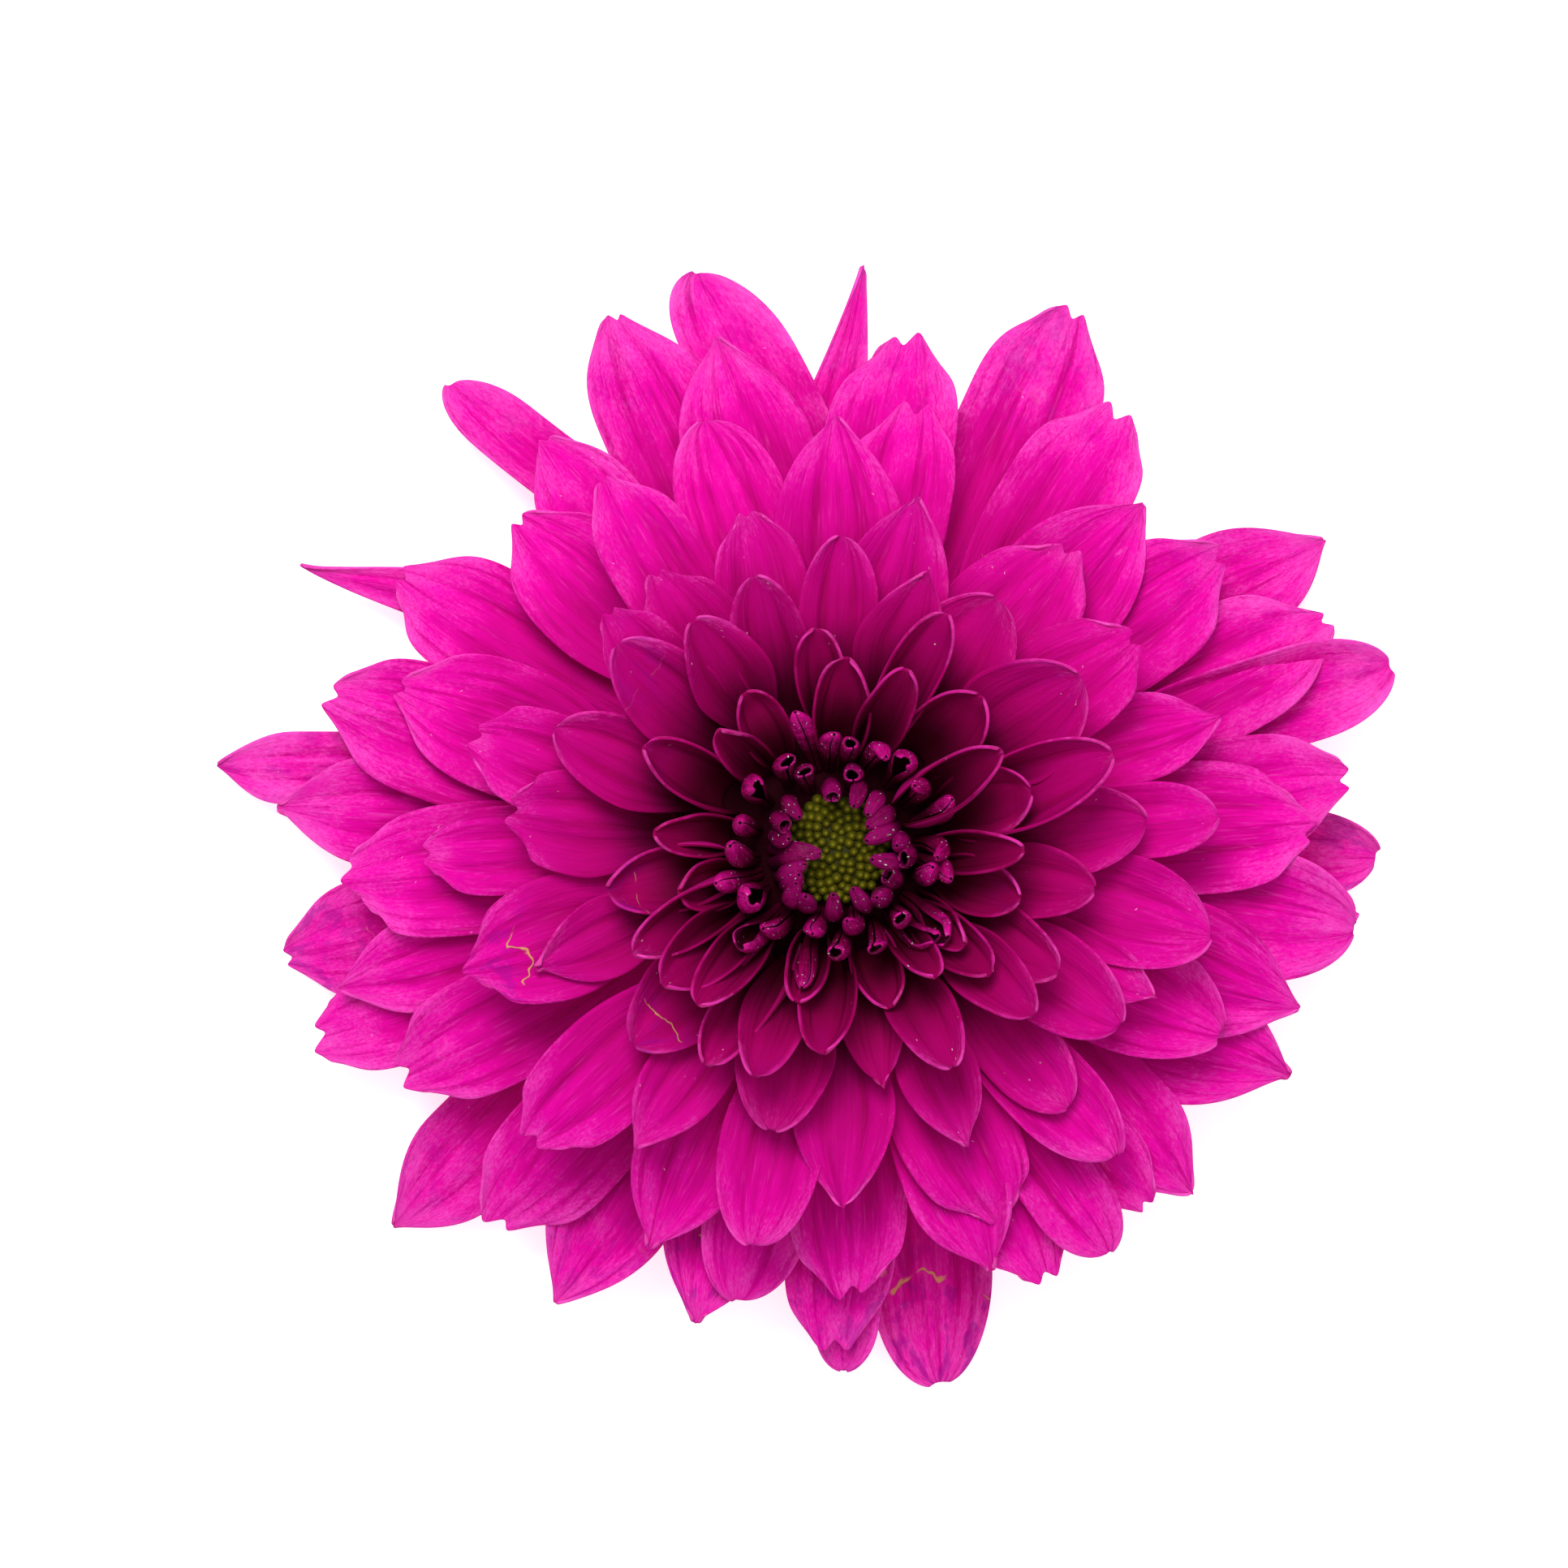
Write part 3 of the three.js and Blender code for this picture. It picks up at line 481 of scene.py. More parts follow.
# ---- Rolled florets --------------------------------------------------------------------------------
def add_quill(sheet, azimuth, reach, kind, seat, length):
    """A floret still rolled into a tube, slit along its inner side."""
    shape = QUILL_SHAPES[kind]
    foot = RECEPTACLE_RADIUS - 0.1
    foot_rise = on_receptacle(seat)
    tip = (foot + length) * chance.uniform(0.97, 1.02)
    tip_rise = math.acos(reach / tip)
    stout = QUILL_RADIUS * chance.uniform(0.9, 1.15) * shape["stout"]
    lean = chance.uniform(-0.16, 0.16)  # radians that the tip stands aside of the foot
    ribs = chance.uniform(0.06, 0.2)  # height of its three ribs, as a share of its radius
    squash = chance.uniform(0.5, 0.85)  # how flat its head is
    spin = chance.uniform(-0.9, 0.9)  # radians through which it is twisted

    def at(distance, angle, turn=0.0):
        away = outward(azimuth + turn) * (distance * math.cos(angle))
        return away + Vector((0, 0, distance * math.sin(angle)))

    start = at(foot, foot_rise)
    middle = at(foot + length * 0.55, mix(foot_rise, tip_rise, 0.6))
    end = at(tip, tip_rise, lean)
    side = across(azimuth)

    def middle_line(s):
        return start * (1 - s) ** 2 + middle * (2 * s * (1 - s)) + end * s * s

    def place(u, s):
        along = (middle_line(s + 0.02) - middle_line(s - 0.02)).normalized()
        up = side.cross(along)
        bulge = mix(QUILL_FOOT_RADIUS, stout, smooth(s, 0.05, 0.6))
        past = max(0.0, (s - 0.62) / 0.38)
        radius = bulge * mix(shape["end"], 1, max(0.0, 1 - past**1.9) ** 0.7)
        turn = u * mix(3.14, shape["wrap"], smooth(s, 0.4, 0.85))
        radius *= 1 + ribs * math.cos(3 * turn + lean * 20)
        centre = middle_line(s) + up * (shape["hook"] * smooth(s, 0.65, 1) ** 1.5)
        pinch = mix(1, squash, smooth(s, 0.45, 0.95))
        twist = spin * smooth(s, 0.3, 1)
        return (
            centre
            + side * (radius / pinch**0.5 * math.sin(turn + twist))
            - up * (radius * pinch * math.cos(turn + twist))
        )

    girth = 4.0  # mm round the tube
    add_blade(sheet, place, QUILL_GRID, chance.random(), ring_share(reach), 0.0, girth, length)


# ---- Finishes --------------------------------------------------------------------------------------
class Value:
    """A number that varies over a surface. Arithmetic on it adds the Math nodes."""

    def __init__(self, finish, socket):
        self.finish = finish
        self.socket = socket

    def __add__(self, other):
        return self.finish.math("ADD", self, other)

    def __radd__(self, other):
        return self.finish.math("ADD", other, self)

    def __sub__(self, other):
        return self.finish.math("SUBTRACT", self, other)

    def __rsub__(self, other):
        return self.finish.math("SUBTRACT", other, self)

    def __mul__(self, other):
        return self.finish.math("MULTIPLY", self, other)

    def __rmul__(self, other):
        return self.finish.math("MULTIPLY", other, self)

    def __truediv__(self, other):
        return self.finish.math("DIVIDE", self, other)

    def __pow__(self, other):
        return self.finish.math("POWER", self, other)

    def __abs__(self):
        return self.finish.math("ABSOLUTE", self, 0)

    def step(self, low, high):
        """0 below low, 1 above high, and a soft rise between; the other way round if high < low."""
        backwards = high < low
        made = self.finish.node(
            "ShaderNodeMapRange",
            {"interpolation_type": "SMOOTHSTEP"},
            {"Value": self, "From Min": min(low, high), "From Max": max(low, high),
             "To Min": 1.0 if backwards else 0.0, "To Max": 0.0 if backwards else 1.0},
        )
        return Value(self.finish, made.outputs["Result"])


class Finish:
    """A surface finish made of nodes."""

    def __init__(self, name):
        self.material = bpy.data.materials.new(name)
        self.material.use_nodes = True
        self.tree = self.material.node_tree
        self.tree.nodes.clear()

    def node(self, kind, settings=None, values=None):
        made = self.tree.nodes.new(kind)
        for key, setting in (settings or {}).items():
            setattr(made, key, setting)
        for key, value in (values or {}).items():
            socket = made.inputs[key]
            if isinstance(value, Value):
                self.tree.links.new(value.socket, socket)
            elif isinstance(value, bpy.types.NodeSocket):
                self.tree.links.new(value, socket)
            else:
                socket.default_value = value
        return made

    def math(self, operation, one, other):
        made = self.node("ShaderNodeMath", {"operation": operation}, {0: one, 1: other})
        return Value(self, made.outputs[0])

    def layer(self, name):
        """The two numbers that a piece's own layer holds."""
        place = self.node("ShaderNodeUVMap", {"uv_map": name}).outputs["UV"]
        parts = self.node("ShaderNodeSeparateXYZ", {}, {"Vector": place})
        return Value(self, parts.outputs["X"]), Value(self, parts.outputs["Y"])

    def object_place(self):
        return self.node("ShaderNodeTexCoord").outputs["Object"]

    def vector(self, x, y, z):
        return self.node("ShaderNodeCombineXYZ", {}, {"X": x, "Y": y, "Z": z}).outputs["Vector"]

    def noise(self, where, scale, detail=3.0, roughness=0.5):
        made = self.node(
            "ShaderNodeTexNoise", {},
            {"Vector": where, "Scale": scale, "Detail": detail, "Roughness": roughness},
        )
        return Value(self, made.outputs["Fac"])

    def cells(self, where, scale, feature="F1"):
        made = self.node(
            "ShaderNodeTexVoronoi", {"feature": feature}, {"Vector": where, "Scale": scale}
        )
        return Value(self, made.outputs["Distance"])

    def blend(self, one, other, share):
        """From colour one to colour other."""
        made = self.node(
            "ShaderNodeMix", {"data_type": "RGBA", "clamp_factor": True}, {0: share, 6: one, 7: other}
        )
        return made.outputs[2]

    def finish(self, colour, roughness, height=None, depth=0.00002, **sockets):
        """Ends the tree in one shader. height drives a bump of the given depth in metres."""
        values = {"Base Color": colour, "Roughness": roughness}
        values.update({key.replace("_", " "): value for key, value in sockets.items()})
        if height is not None:
            bump = self.node(
                "ShaderNodeBump", {}, {"Height": height, "Strength": 1.0, "Distance": depth}
            )
            values["Normal"] = bump.outputs["Normal"]
        shader = self.node("ShaderNodeBsdfPrincipled", {}, values)
        self.node("ShaderNodeOutputMaterial", {}, {"Surface": shader.outputs[0]})
        return self.material


def rgb(red, green, blue):
    return (red, green, blue, 1.0)


DEEP_MAROON_AND_SHADE = rgb(0.04, 0.0006, 0.006)
CRIMSON = rgb(0.29, 0.0006, 0.075)
MAGENTA = rgb(0.78, 0.0015, 0.36)
PALE_PINK = rgb(0.87, 0.10, 0.55)
BRUISE = rgb(0.22, 0.004, 0.22)
TAN = rgb(0.70, 0.30, 0.14)
EDGE_PINK_AND_HIGHLIGHT = rgb(0.78, 0.02, 0.39)
POLLEN = rgb(0.90, 0.62, 0.72)
PALE_HAIR = rgb(0.92, 0.50, 0.76)
LILAC_BACK = rgb(0.62, 0.006, 0.25)
PALE_BACK = rgb(0.76, 0.06, 0.40)
BROWN_CLAW = rgb(0.22, 0.07, 0.06)

# The depth of a finish's relief, in metres.
PETAL_RELIEF = 0.00012
QUILL_RELIEF = 0.00016
SKIN_RELIEF = 0.00008
BUD_RELIEF = 0.00005
TABLE_RELIEF = 0.00001


def petal_face():
    """The upper face: maroon foot deepened by painted shade, magenta blade with a crimson base that is
    partly painted shade, paler grainy tip, fine veins, two grooves, and rims partly lightened by a
    painted highlight.
    """
    f = Finish("petal face")
    u01, s = f.layer("blade")
    side, along = f.layer("flat")
    tint, ring = f.layer("look")
    bruise, _ = f.layer("harm")
    u = u01 * 2 - 1
    own = tint * 40
    veins = f.noise(f.vector(side * 1.7, along * 0.1, own), 1.0, 3.0, 0.6)
    fibres = f.noise(f.vector(side * 6, along * 0.4, own), 1.0, 3.0, 0.6)
    grain = f.noise(f.vector(side * 6.5, along * 2.6, own), 1.0, 4.0, 0.7)
    patches = f.noise(f.vector(side * 0.45, along * 0.3, own), 1.0, 2.0)
    grooves = (abs(abs(u) - 0.36)).step(0.17, 0.01) * s.step(0.95, 0.6)
    midrib = abs(u).step(0.12, 0.0) * s.step(0.95, 0.6)
    # Partly painted shade: the foot of each floret lies deep under the florets above it and is darkened
    # to near-black maroon beyond its own colour, reaching further out on the inner whorls.
    deep_until = 0.12 + ring * ring * 1.72
    foot = ((s + veins * 0.16 - 0.08 + abs(u) ** 2 * 0.12) / deep_until).step(1.05, 0.25)
    colour = f.blend(MAGENTA, CRIMSON, ring.step(0.22, 0.75))
    # Partly painted shade: the base of each blade, where the floret above overlaps it, is blended
    # towards crimson. The crimson is also the blade's own deeper colour there.
    shade = (s + (patches - 0.5) * 0.3).step(0.9, 0.42)
    colour = f.blend(colour, CRIMSON, shade * 0.55)
    dark_lines = grooves * 0.5 + midrib * 0.2 + veins.step(0.52, 0.3) * 0.6
    colour = f.blend(colour, CRIMSON, dark_lines * 0.7 + fibres.step(0.5, 0.3) * 0.22)
    paleness = s + abs(u) ** 3 * 0.25 + (patches - 0.5) * 0.7 - ring * 0.55 - dark_lines * 0.3
    pale = (paleness + (grain - 0.5) * 1.1).step(0.6, 1.45)
    colour = f.blend(colour, PALE_PINK, pale)
    streaks = fibres.step(0.56, 0.76) * s.step(0.35, 0.8) * ring.step(0.6, 0.2)
    colour = f.blend(colour, PALE_PINK, streaks * 0.3)
    ragged = f.noise(f.vector(u * 0.6, along * 0.8, own + 7), 1.0, 2.0)
    edge = (abs(u) + (ragged - 0.5) * 0.5).step(0.72, 1.1) * s.step(0.45, 1.0) * ragged.step(0.35, 0.6)
    # Partly painted highlight: the rolled rims, which catch the light, are lightened, most on the inner
    # whorls. The edges are also paler in their own colour.
    rim_tint_and_highlight = edge * (0.08 + ring.step(0.4, 0.7) * 0.4)
    colour = f.blend(colour, EDGE_PINK_AND_HIGHLIGHT, rim_tint_and_highlight)
    # Painted shade on the foot; on the inner whorls the rims are kept out of it, which is a painted
    # highlight.
    colour = f.blend(colour, DEEP_MAROON_AND_SHADE, foot * 0.94 * (1 - edge * ring.step(0.5, 0.7) * 0.5))
    stain_noise = f.noise(f.vector(side * 0.8, along * 0.5, own + 9), 1.0, 3.0, 0.6)
    stain = stain_noise.step(0.5, 0.62) * bruise * s.step(0.5, 0.9)
    colour = f.blend(colour, BRUISE, stain * 0.5)
    wander = f.noise(f.vector(side * 0.3, along * 0.25, own + 3), 1.0, 3.0, 0.6)
    crack = abs(s - 0.62 - wander * 0.24).step(0.007, 0.002)
    torn = f.noise(f.vector(side * 0.6, along * 0.4, own + 5), 1.0, 1.0).step(0.47, 0.56)
    scar = crack * torn * bruise.step(0.45, 0.8)
    colour = f.blend(colour, TAN, scar * 0.85)
    bare = f.cells(f.vector(side * 0.9, along * 0.6, own), 1.0)
    pollen = bare.step(0.055, 0.03) * ring.step(0.35, 0.6) * s.step(0.5, 0.7)
    colour = f.blend(colour, POLLEN, pollen * 0.8)
    slanting = f.cells(f.vector((side + along) * 0.9, (side - along) * 0.25, own), 1.0)
    hair = slanting.step(0.045, 0.02) * patches.step(0.45, 0.55) * s.step(0.3, 0.6)
    colour = f.blend(colour, PALE_HAIR, hair * 0.6)
    rough = 0.6 + grain * 0.16 - edge * 0.12
    height = veins * 0.9 + fibres * 0.4 + grain * 0.25 - grooves * 0.8 + scar * 0.6 + pollen * 0.4
    return f.finish(colour, rough, height, PETAL_RELIEF, Specular_IOR_Level=0.02)


def petal_back():
    """The lower face: paler and more lilac, with raised veins."""
    f = Finish("petal back")
    side, along = f.layer("flat")
    _, s = f.layer("blade")
    tint, ring = f.layer("look")
    own = tint * 40
    veins = f.noise(f.vector(side * 1.7, along * 0.1, own), 1.0, 3.0, 0.6)
    grain = f.noise(f.vector(side * 3.5, along * 1.5, own), 1.0, 3.0, 0.65)
    colour = f.blend(LILAC_BACK, PALE_BACK, (s + grain * 0.5 - 0.2).step(0.3, 1.2))
    colour = f.blend(colour, CRIMSON, veins.step(0.5, 0.3) * 0.5 + ring.step(0.45, 0.7) * 0.6)
    colour = f.blend(colour, BROWN_CLAW, s.step(0.22, 0.02) * 0.75)
    height = veins + grain * 0.3
    return f.finish(colour, 0.62 + grain * 0.12, height, SKIN_RELIEF, Specular_IOR_Level=0.05)


def quill_skin(name, inside):
    """Rolled florets: waxy, dark at the foot and brighter at the hooded tip, with pollen specks.
    Painted shade darkens the inner ring and the inside of each tube.
    """
    f = Finish(name)
    u01, s = f.layer("blade")
    side, along = f.layer("flat")
    tint, ring = f.layer("look")
    u = u01 * 2 - 1
    own = tint * 40
    mottle = f.noise(f.vector(side * 2, along * 2, own), 1.0, 3.0, 0.6)
    veins = f.noise(f.vector(side * 4, along * 0.4, own), 1.0, 3.0)
    upper = (s + mottle * 0.3).step(0.45, 1.0)
    colour = f.blend(rgb(0.04, 0.0004, 0.006), rgb(0.30, 0.0004, 0.085), upper)
    colour = f.blend(colour, rgb(0.07, 0.0004, 0.018), veins.step(0.62, 0.35) * 0.8)
    tip = (s + mottle * 0.7 + tint * 0.3).step(1.1, 1.7)
    colour = f.blend(colour, rgb(0.72, 0.006, 0.30), tip * 0.85)
    # Painted shade: the inner ring of rolled florets, close to the eye, is darkened.
    colour = f.blend(colour, rgb(0.09, 0.0006, 0.035), ring.step(0.84, 0.91) * 0.65)
    rim = abs(u).step(0.82, 1.0) * s.step(0.6, 0.9)
    colour = f.blend(colour, rgb(0.66, 0.03, 0.34), rim * 0.25)
    # Painted shade: deep inside the rolled tube, the inner face darkens to near black away from its
    # edges.
    if inside:
        colour = f.blend(colour, rgb(0.03, 0.0006, 0.005), abs(u).step(0.95, 0.5) * 0.9)
    cells = f.cells(f.vector(side * 2.6, along * 2.6, own), 1.0).step(0.24, 0.12)
    specks = cells * mottle.step(0.48, 0.54) * s.step(0.45, 0.75)
    colour = f.blend(colour, rgb(0.92, 0.74, 0.74), specks * 0.9)
    height = veins * 0.9 + mottle * 0.8 + specks * 1.5
    return f.finish(colour, 0.22 + mottle * 0.3, height, QUILL_RELIEF, Specular_IOR_Level=0.1)


def bud_skin():
    """The eye's buds: dark green at the foot and yellow at the very top."""
    f = Finish("eye buds")
    place = f.object_place()
    grain = f.noise(place, 1500, 3.0, 0.6)
    patch = f.noise(place, 260, 2.0)
    _, s = f.layer("blade")
    tint, _ = f.layer("look")
    upper = (s + patch * 0.5).step(0.5, 1.25)
    colour = f.blend(rgb(0.022, 0.022, 0.001), rgb(0.068, 0.064, 0.0015), upper)
    colour = f.blend(colour, rgb(0.30, 0.24, 0.006), s.step(0.92, 1.0) * 0.35 + tint * 0.1)
    return f.finish(colour, 0.5 + grain * 0.2, grain, BUD_RELIEF, Specular_IOR_Level=0.12)


def green_skin(name, dark, light, stripes):
    """Stalk, bracts and receptacle: matte green, with fibres along them and short pale hairs. Gives
    the finish, the place from the axis in metres, the colour, and the three patterns."""
    f = Finish(name)
    place = f.object_place()
    parts = f.node("ShaderNodeSeparateXYZ", {}, {"Vector": place})
    x = Value(f, parts.outputs["X"]) - AXIS.x
    y = Value(f, parts.outputs["Y"]) - AXIS.y
    z = Value(f, parts.outputs["Z"])
    turn = f.math("ARCTAN2", y, x)
    fibres = f.noise(f.vector(turn * stripes, z * 40, 0.0), 3.0, 4.0, 0.6)
    mottle = f.noise(place, 420, 4.0, 0.6)
    fuzz = f.noise(place, 5200, 1.0)
    colour = f.blend(dark, light, (fibres * 0.7 + mottle * 0.5).step(0.35, 0.85))
    colour = f.blend(colour, rgb(0.55, 0.62, 0.42), fuzz.step(0.66, 0.76) * 0.35)
    return f, (x, y, z), colour, fibres, mottle, fuzz


def stalk_skin():
    """The stub: its cut end shows pale pith inside a green rind."""
    f, where, colour, fibres, mottle, fuzz = green_skin(
        "stalk", rgb(0.07, 0.14, 0.03), rgb(0.20, 0.30, 0.08), 16
    )
    x, y, z = where
    radius = (x * x + y * y) ** 0.5 / MM
    cut = z.step(0.00045, 0.0002) * radius.step(STALK_RADIUS - 0.25, STALK_RADIUS - 0.5)
    pith = f.blend(rgb(0.42, 0.46, 0.22), rgb(0.66, 0.64, 0.44), radius.step(1.5, 1.0))
    colour = f.blend(colour, pith, cut)
    height = fibres + fuzz * 0.4
    return f.finish(colour, 0.62 + mottle * 0.14, height, SKIN_RELIEF, Specular_IOR_Level=0.35)


def bract_skin():
    """The bracts: papery pale edges, a brown tip and a dark keel."""
    f, _, colour, fibres, mottle, fuzz = green_skin(
        "bracts", rgb(0.06, 0.12, 0.025), rgb(0.15, 0.24, 0.06), 26
    )
    u01, s = f.layer("blade")
    u = abs(u01 * 2 - 1)
    colour = f.blend(colour, rgb(0.38, 0.33, 0.17), u.step(0.72, 0.95) * 0.7)
    colour = f.blend(colour, rgb(0.20, 0.10, 0.05), s.step(0.86, 1.0) * 0.6)
    colour = f.blend(colour, rgb(0.04, 0.09, 0.02), u.step(0.14, 0.03) * 0.55)
    height = fibres + fuzz * 0.5
    return f.finish(colour, 0.6 + mottle * 0.15, height, SKIN_RELIEF, Specular_IOR_Level=0.3)


def receptacle_skin():
    """The receptacle: green below its rim, and near-black maroon among the feet of the florets, which
    is painted shade.
    """
    f, where, colour, fibres, mottle, _ = green_skin(
        "receptacle", rgb(0.14, 0.18, 0.05), rgb(0.30, 0.34, 0.14), 22
    )
    _, _, z = where
    # Painted shade: above its rim, among the feet of the florets, the receptacle is coloured near-black
    # maroon.
    among_florets = z.step(RIM_HEIGHT, RIM_HEIGHT + 0.002)
    colour = f.blend(colour, rgb(0.02, 0.0008, 0.004), among_florets)
    height = fibres + mottle
    return f.finish(colour, 0.65 + mottle * 0.12, height, SKIN_RELIEF, Specular_IOR_Level=0.03)


FACE, BACK = petal_face(), petal_back()
QUILL_INSIDE, QUILL_OUTSIDE = quill_skin("quill inside", True), quill_skin("quill outside", False)


# ---- Pieces ----------------------------------------------------------------------------------------
def settle(piece, slot, *nodes):
    """Ties a piece to the body and hides the solids it stands for. slot is not used."""
    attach(piece, "root")
    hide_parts(*nodes)


for number, ray in enumerate(whorls[0], 1):
    sheet = bmesh.new()
    add_ray(sheet, ray, OUTER_GRID)
    piece = new_mesh_object(f"outer_ray_{number:02d}", sheet, (FACE, BACK))
    thicken(piece, BLADE_THICKNESS)
    settle(piece, "ray_magenta", f"ray_floret_{number:02d}")

for number, whorl in enumerate(whorls[1:], 1):
    sheet = bmesh.new()
    for ray in whorl:
        add_ray(sheet, ray, INNER_GRID)
    piece = new_mesh_object(f"inner_rays_{number}", sheet, (FACE, BACK))
    thicken(piece, BLADE_THICKNESS)
    settle(piece, "ray_magenta", f"ray_whorl_{number}")

for ring_name, rows, seat, length in (
    ("outer", OUTER_QUILLS, outer_quill_seat, OUTER_QUILL_LENGTH),
    ("inner", INNER_QUILLS, inner_quill_seat, INNER_QUILL_LENGTH),
):
    sheet = bmesh.new()
    for azimuth, reach, kind in rows:
        add_quill(sheet, math.radians(azimuth), reach, kind, seat, length)
    piece = new_mesh_object(f"rolled_florets_{ring_name}", sheet, (QUILL_INSIDE, QUILL_OUTSIDE))
    thicken(piece, QUILL_THICKNESS)
    settle(piece, "quill_magenta", f"quilled_florets_{ring_name}")


def add_bud(sheet, spot, radius, tint):
    """One unopened floret of the eye: a small egg that stands on end, closed by a pointed top."""
    blade = sheet.loops.layers.uv.get("blade") or sheet.loops.layers.uv.new("blade")
    look = sheet.loops.layers.uv.get("look") or sheet.loops.layers.uv.new("look")
    made = bmesh.ops.create_uvsphere(sheet, u_segments=10, v_segments=7, radius=1)["verts"]
    heights = {vert: vert.co.z for vert in made}
    for face in {face for vert in made for face in vert.link_faces}:
        for loop in face.loops:
            loop[blade].uv = (0.5, (heights[loop.vert] + 1) / 2)
            loop[look].uv = (tint, 0.95)
    for vert in made:
        x, y, z = vert.co
        narrow = 1 - 0.25 * max(0.0, z) ** 2
        vert.co = in_frame(spot + Vector((x * narrow, y * narrow, z * 1.5)) * radius)


sheet = bmesh.new()
for i in range(BUDS):
    share = math.sqrt((i + 0.5) / BUDS)
    radius = EYE_RADIUS * share
    dome = EYE_RISE * (1 - share * share) - 0.35 * (1 - share) ** 2
    nudge = outward(chance.uniform(0, math.tau)) * chance.uniform(0, NUDGE)
    lift = Vector((0, 0, EYE_HEIGHT + GAP + EYE_SOCKET_RISE + dome))
    spot = outward(i * GOLDEN_ANGLE) * radius + nudge + lift
    add_bud(sheet, spot, mix(0.33, 0.4, share) * chance.uniform(0.85, 1.15), chance.random())

# The floor of the eye, which closes the gaps between its buds.
base = bmesh.ops.create_uvsphere(sheet, u_segments=32, v_segments=12, radius=1)["verts"]
for vert in base:
    x, y, z = vert.co
    vert.co = in_frame(Vector((x * EYE_RADIUS, y * EYE_RADIUS, EYE_HEIGHT + GAP + 0.12 + z * 0.95)))
piece = new_mesh_object("eye_buds", sheet, (bud_skin(),))
settle(piece, "eye_green", "disc_eye")


def on_underside(angle, offset):
    """Distance from the axis and height of a place offset mm off the receptacle's rounded underside."""
    normal = Vector((math.cos(angle) / RECEPTACLE_RADIUS, math.sin(angle) / UNDERSIDE_DEPTH))
    normal.normalize()
    return (
        RECEPTACLE_RADIUS * math.cos(angle) + normal.x * offset,
        UNDERSIDE_DEPTH * math.sin(angle) + normal.y * offset,
    )


def add_bract(sheet, azimuth, span, offset):
    """A keeled bract that hugs the receptacle over a span of degrees below its rim."""
    lean = chance.uniform(-0.04, 0.04)

    def place(u, s):
        half = BRACT_WIDTH / 2 * mix(0.7, 1, smooth(s, 0, 0.35)) * max(0.05, 1 - s**2.6)
        angle = math.radians(mix(span[0], span[1], s))
        keel = 0.14 * math.exp(-((u / 0.2) ** 2)) - 0.12 * u * u
        away, height = on_underside(angle, offset + 0.25 * s * s + keel)
        return outward(azimuth + lean * s - u * half / away) * away + Vector((0, 0, height))

    add_blade(sheet, place, BRACT_GRID, chance.random(), 0.0, 0.0, BRACT_WIDTH, BRACT_LENGTH)


BRACT_SKIN = bract_skin()
for ring_name, span, offset, turn in (
    ("inner", (-66, -17), 0.95, math.pi / BRACTS),
    ("outer", (-74, -36), 1.9, 0.0),
):
    sheet = bmesh.new()
    for i in range(BRACTS):
        add_bract(sheet, turn + i * math.tau / BRACTS, span, offset)
    bmesh.ops.reverse_faces(sheet, faces=sheet.faces[:])
    piece = new_mesh_object(f"involucre_{ring_name}", sheet, (BRACT_SKIN,))
    thicken(piece, BRACT_THICKNESS, backs=0)
    settle(piece, "bract_green", f"bracts_{ring_name}")


def stalk_stub():
    """A ribbed stub turned from its outline, closed by a slightly hollow cut below."""
    top = -UNDERSIDE_DEPTH - GAP + 0.25
    outline = [(0.0, FLOOR + 0.22), (1.2, FLOOR + 0.2), (1.7, FLOOR + 0.06), (2.0, FLOOR + 0.02)]
    outline += [(STALK_RADIUS, FLOOR + 0.12)]
    steps = 14
    for i in range(1, steps + 1):
        share = i / steps
        outline.append((STALK_RADIUS + STALK_FLARE * share**4, mix(FLOOR + 0.12, top, share)))
    outline.append((0.0, top))
    sheet = bmesh.new()
    verts = [sheet.verts.new((r, 0, z)) for r, z in outline]
    edges = [sheet.edges.new(pair) for pair in zip(verts, verts[1:])]
    bmesh.ops.spin(
        sheet, geom=verts + edges, axis=(0, 0, 1), cent=(0, 0, 0), angle=math.tau,
        steps=STALK_RIBS * 12, use_merge=True,
    )
    bmesh.ops.remove_doubles(sheet, verts=sheet.verts[:], dist=1e-4)
    for vert in sheet.verts:
        radius = math.hypot(vert.co.x, vert.co.y)
        azimuth = math.atan2(vert.co.y, vert.co.x)
        rib = 0.12 * math.cos(STALK_RIBS * azimuth) * smooth(radius, 1.5, STALK_RADIUS)
        vert.co = in_frame(outward(azimuth) * (radius + rib) + Vector((0, 0, vert.co.z)))
    bmesh.ops.recalc_face_normals(sheet, faces=sheet.faces[:])
    return sheet


piece = new_mesh_object("stalk_stub", stalk_stub(), (stalk_skin(),))
settle(piece, "stalk_green", "stalk")

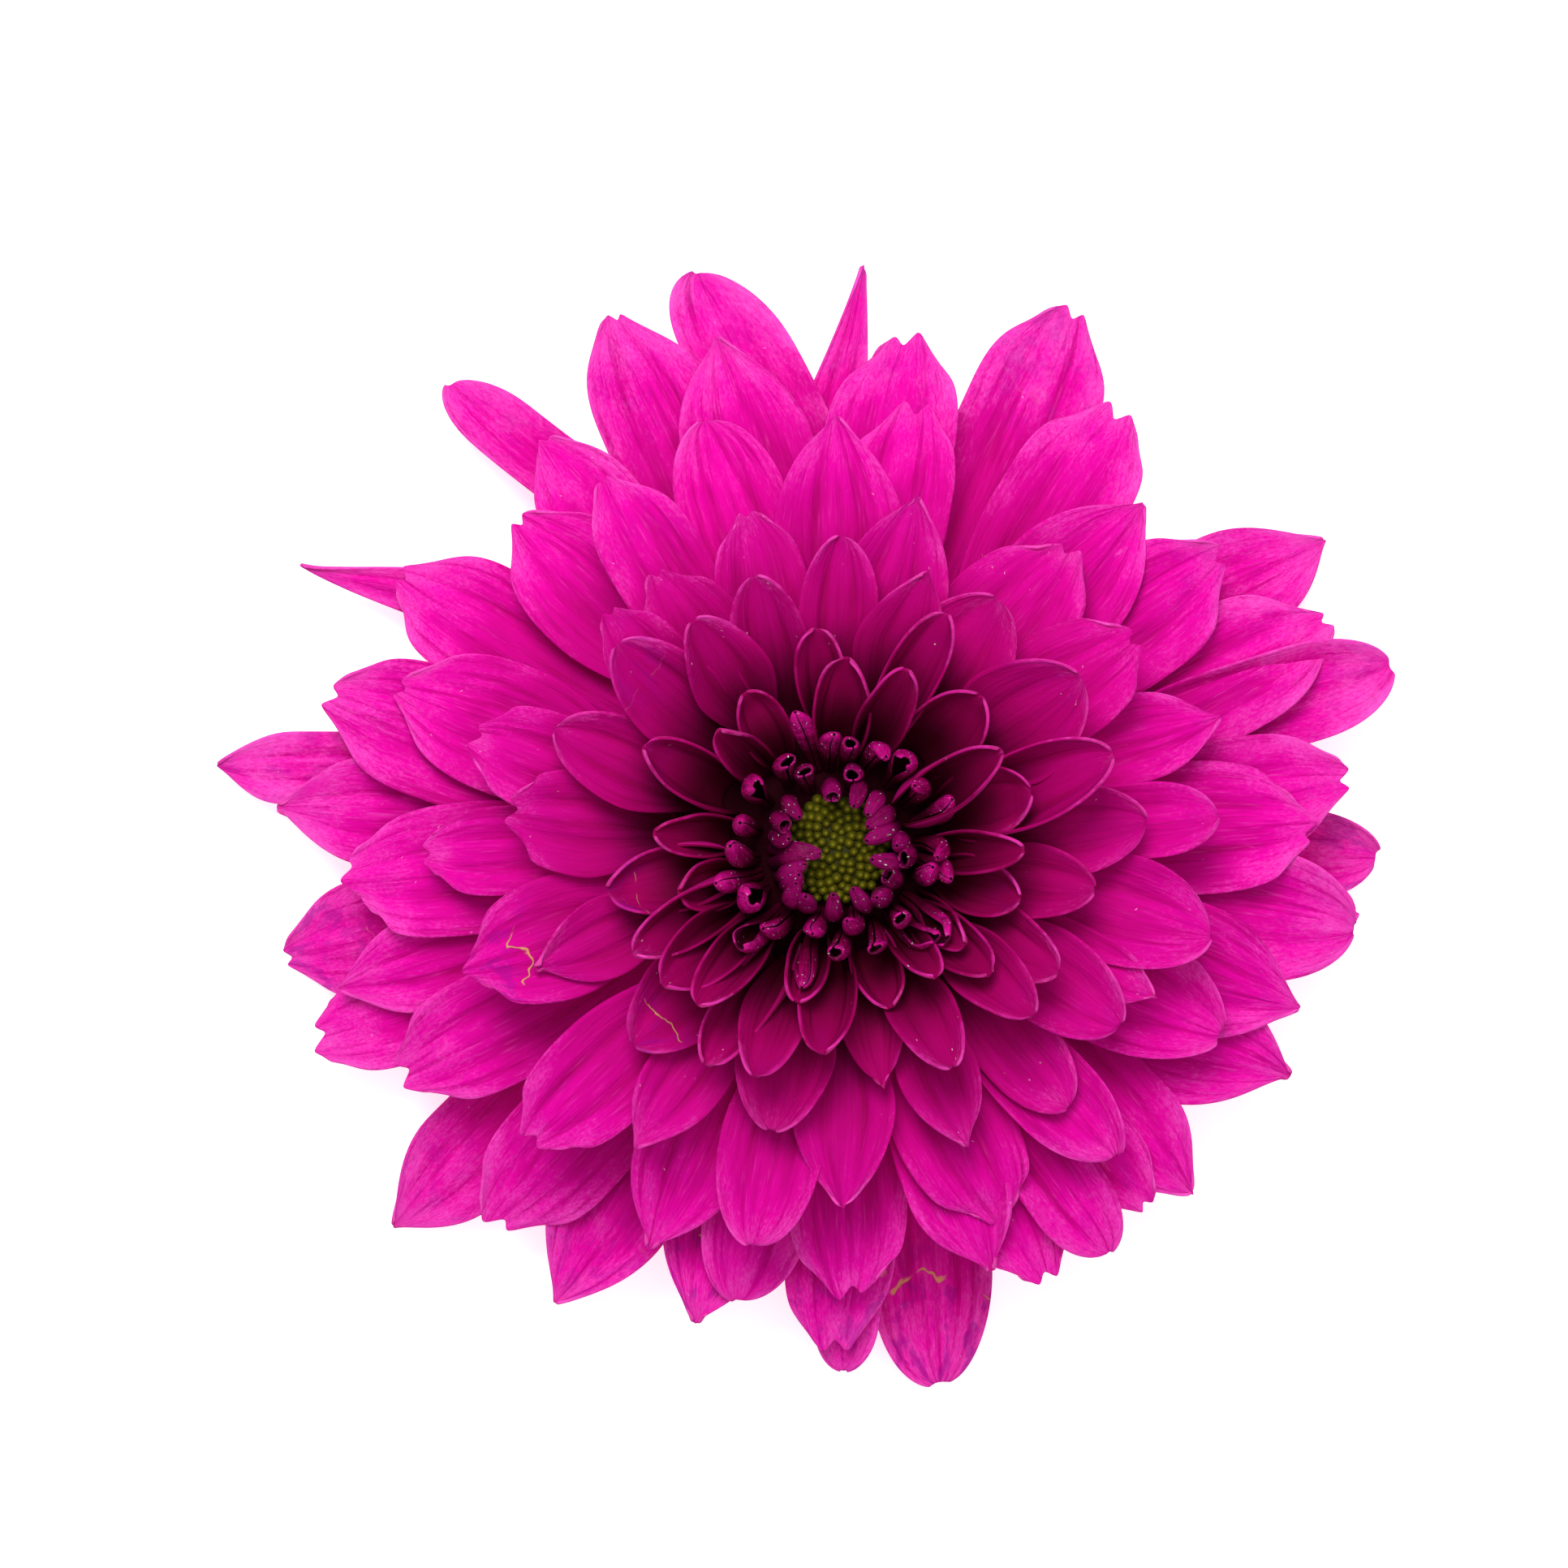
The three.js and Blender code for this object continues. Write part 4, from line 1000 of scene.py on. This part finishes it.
# The receptacle keeps its solid, with a finish of its own.
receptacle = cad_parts["receptacle"]
for slot in receptacle.material_slots:
    slot.material = receptacle_skin()


# ---- Table, light and camera -----------------------------------------------------------------------
def table():
    """A plain pale table that glows a little, so that it stays white in the head's shade."""
    f = Finish("table")
    place = f.object_place()
    cloud = f.noise(place, 6, 2.0)
    colour = f.blend(rgb(0.93, 0.93, 0.93), rgb(0.96, 0.96, 0.96), cloud)
    material = f.finish(
        colour, 0.7 + cloud * 0.05, f.noise(place, 900, 2.0), TABLE_RELIEF,
        Specular_IOR_Level=0.1, Emission_Color=rgb(1, 1, 1), Emission_Strength=0.6,
    )
    sheet = bmesh.new()
    bmesh.ops.create_grid(sheet, x_segments=2, y_segments=2, size=TABLE_HALF_WIDTH)
    for vert in sheet.verts:
        vert.co.z = solid_low.z - 0.00005
    floor = new_mesh_object("table_top", sheet, (material,))


table()

world = bpy.data.worlds.new("studio")
bpy.context.scene.world = world
world.use_nodes = True
world.node_tree.nodes["Background"].inputs["Color"].default_value = rgb(1, 1, 1)
world.node_tree.nodes["Background"].inputs["Strength"].default_value = WORLD_LIGHT


def soft_light(name, spot, size, power):
    """A round lamp that faces the middle of the head."""
    light = bpy.data.lights.new(name, "AREA")
    light.shape = "DISK"
    light.size = size
    light.energy = power
    lamp = bpy.data.objects.new(name, light)
    bpy.context.scene.collection.objects.link(lamp)
    lamp.location = spot
    lamp.rotation_euler = (Vector((0, 0, 0.01)) - Vector(spot)).to_track_quat("-Z", "Y").to_euler()


for row in LIGHTS:
    soft_light(*row)

camera_data = bpy.data.cameras.new("camera")
camera = bpy.data.objects.new("camera", camera_data)
bpy.context.scene.collection.objects.link(camera)
bpy.context.scene.camera = camera
distance = VIEW_WIDTH * LENS / SENSOR + VIEW_HEIGHT
camera_data.lens = LENS
camera_data.sensor_width = SENSOR
camera_data.clip_start = 0.01
camera.location = Vector((*VIEW_MIDDLE, distance)) * MM
camera.rotation_euler = (0, 0, 0)

bpy.context.scene.view_settings.view_transform = "Standard"
bpy.context.scene.view_settings.look = "None"
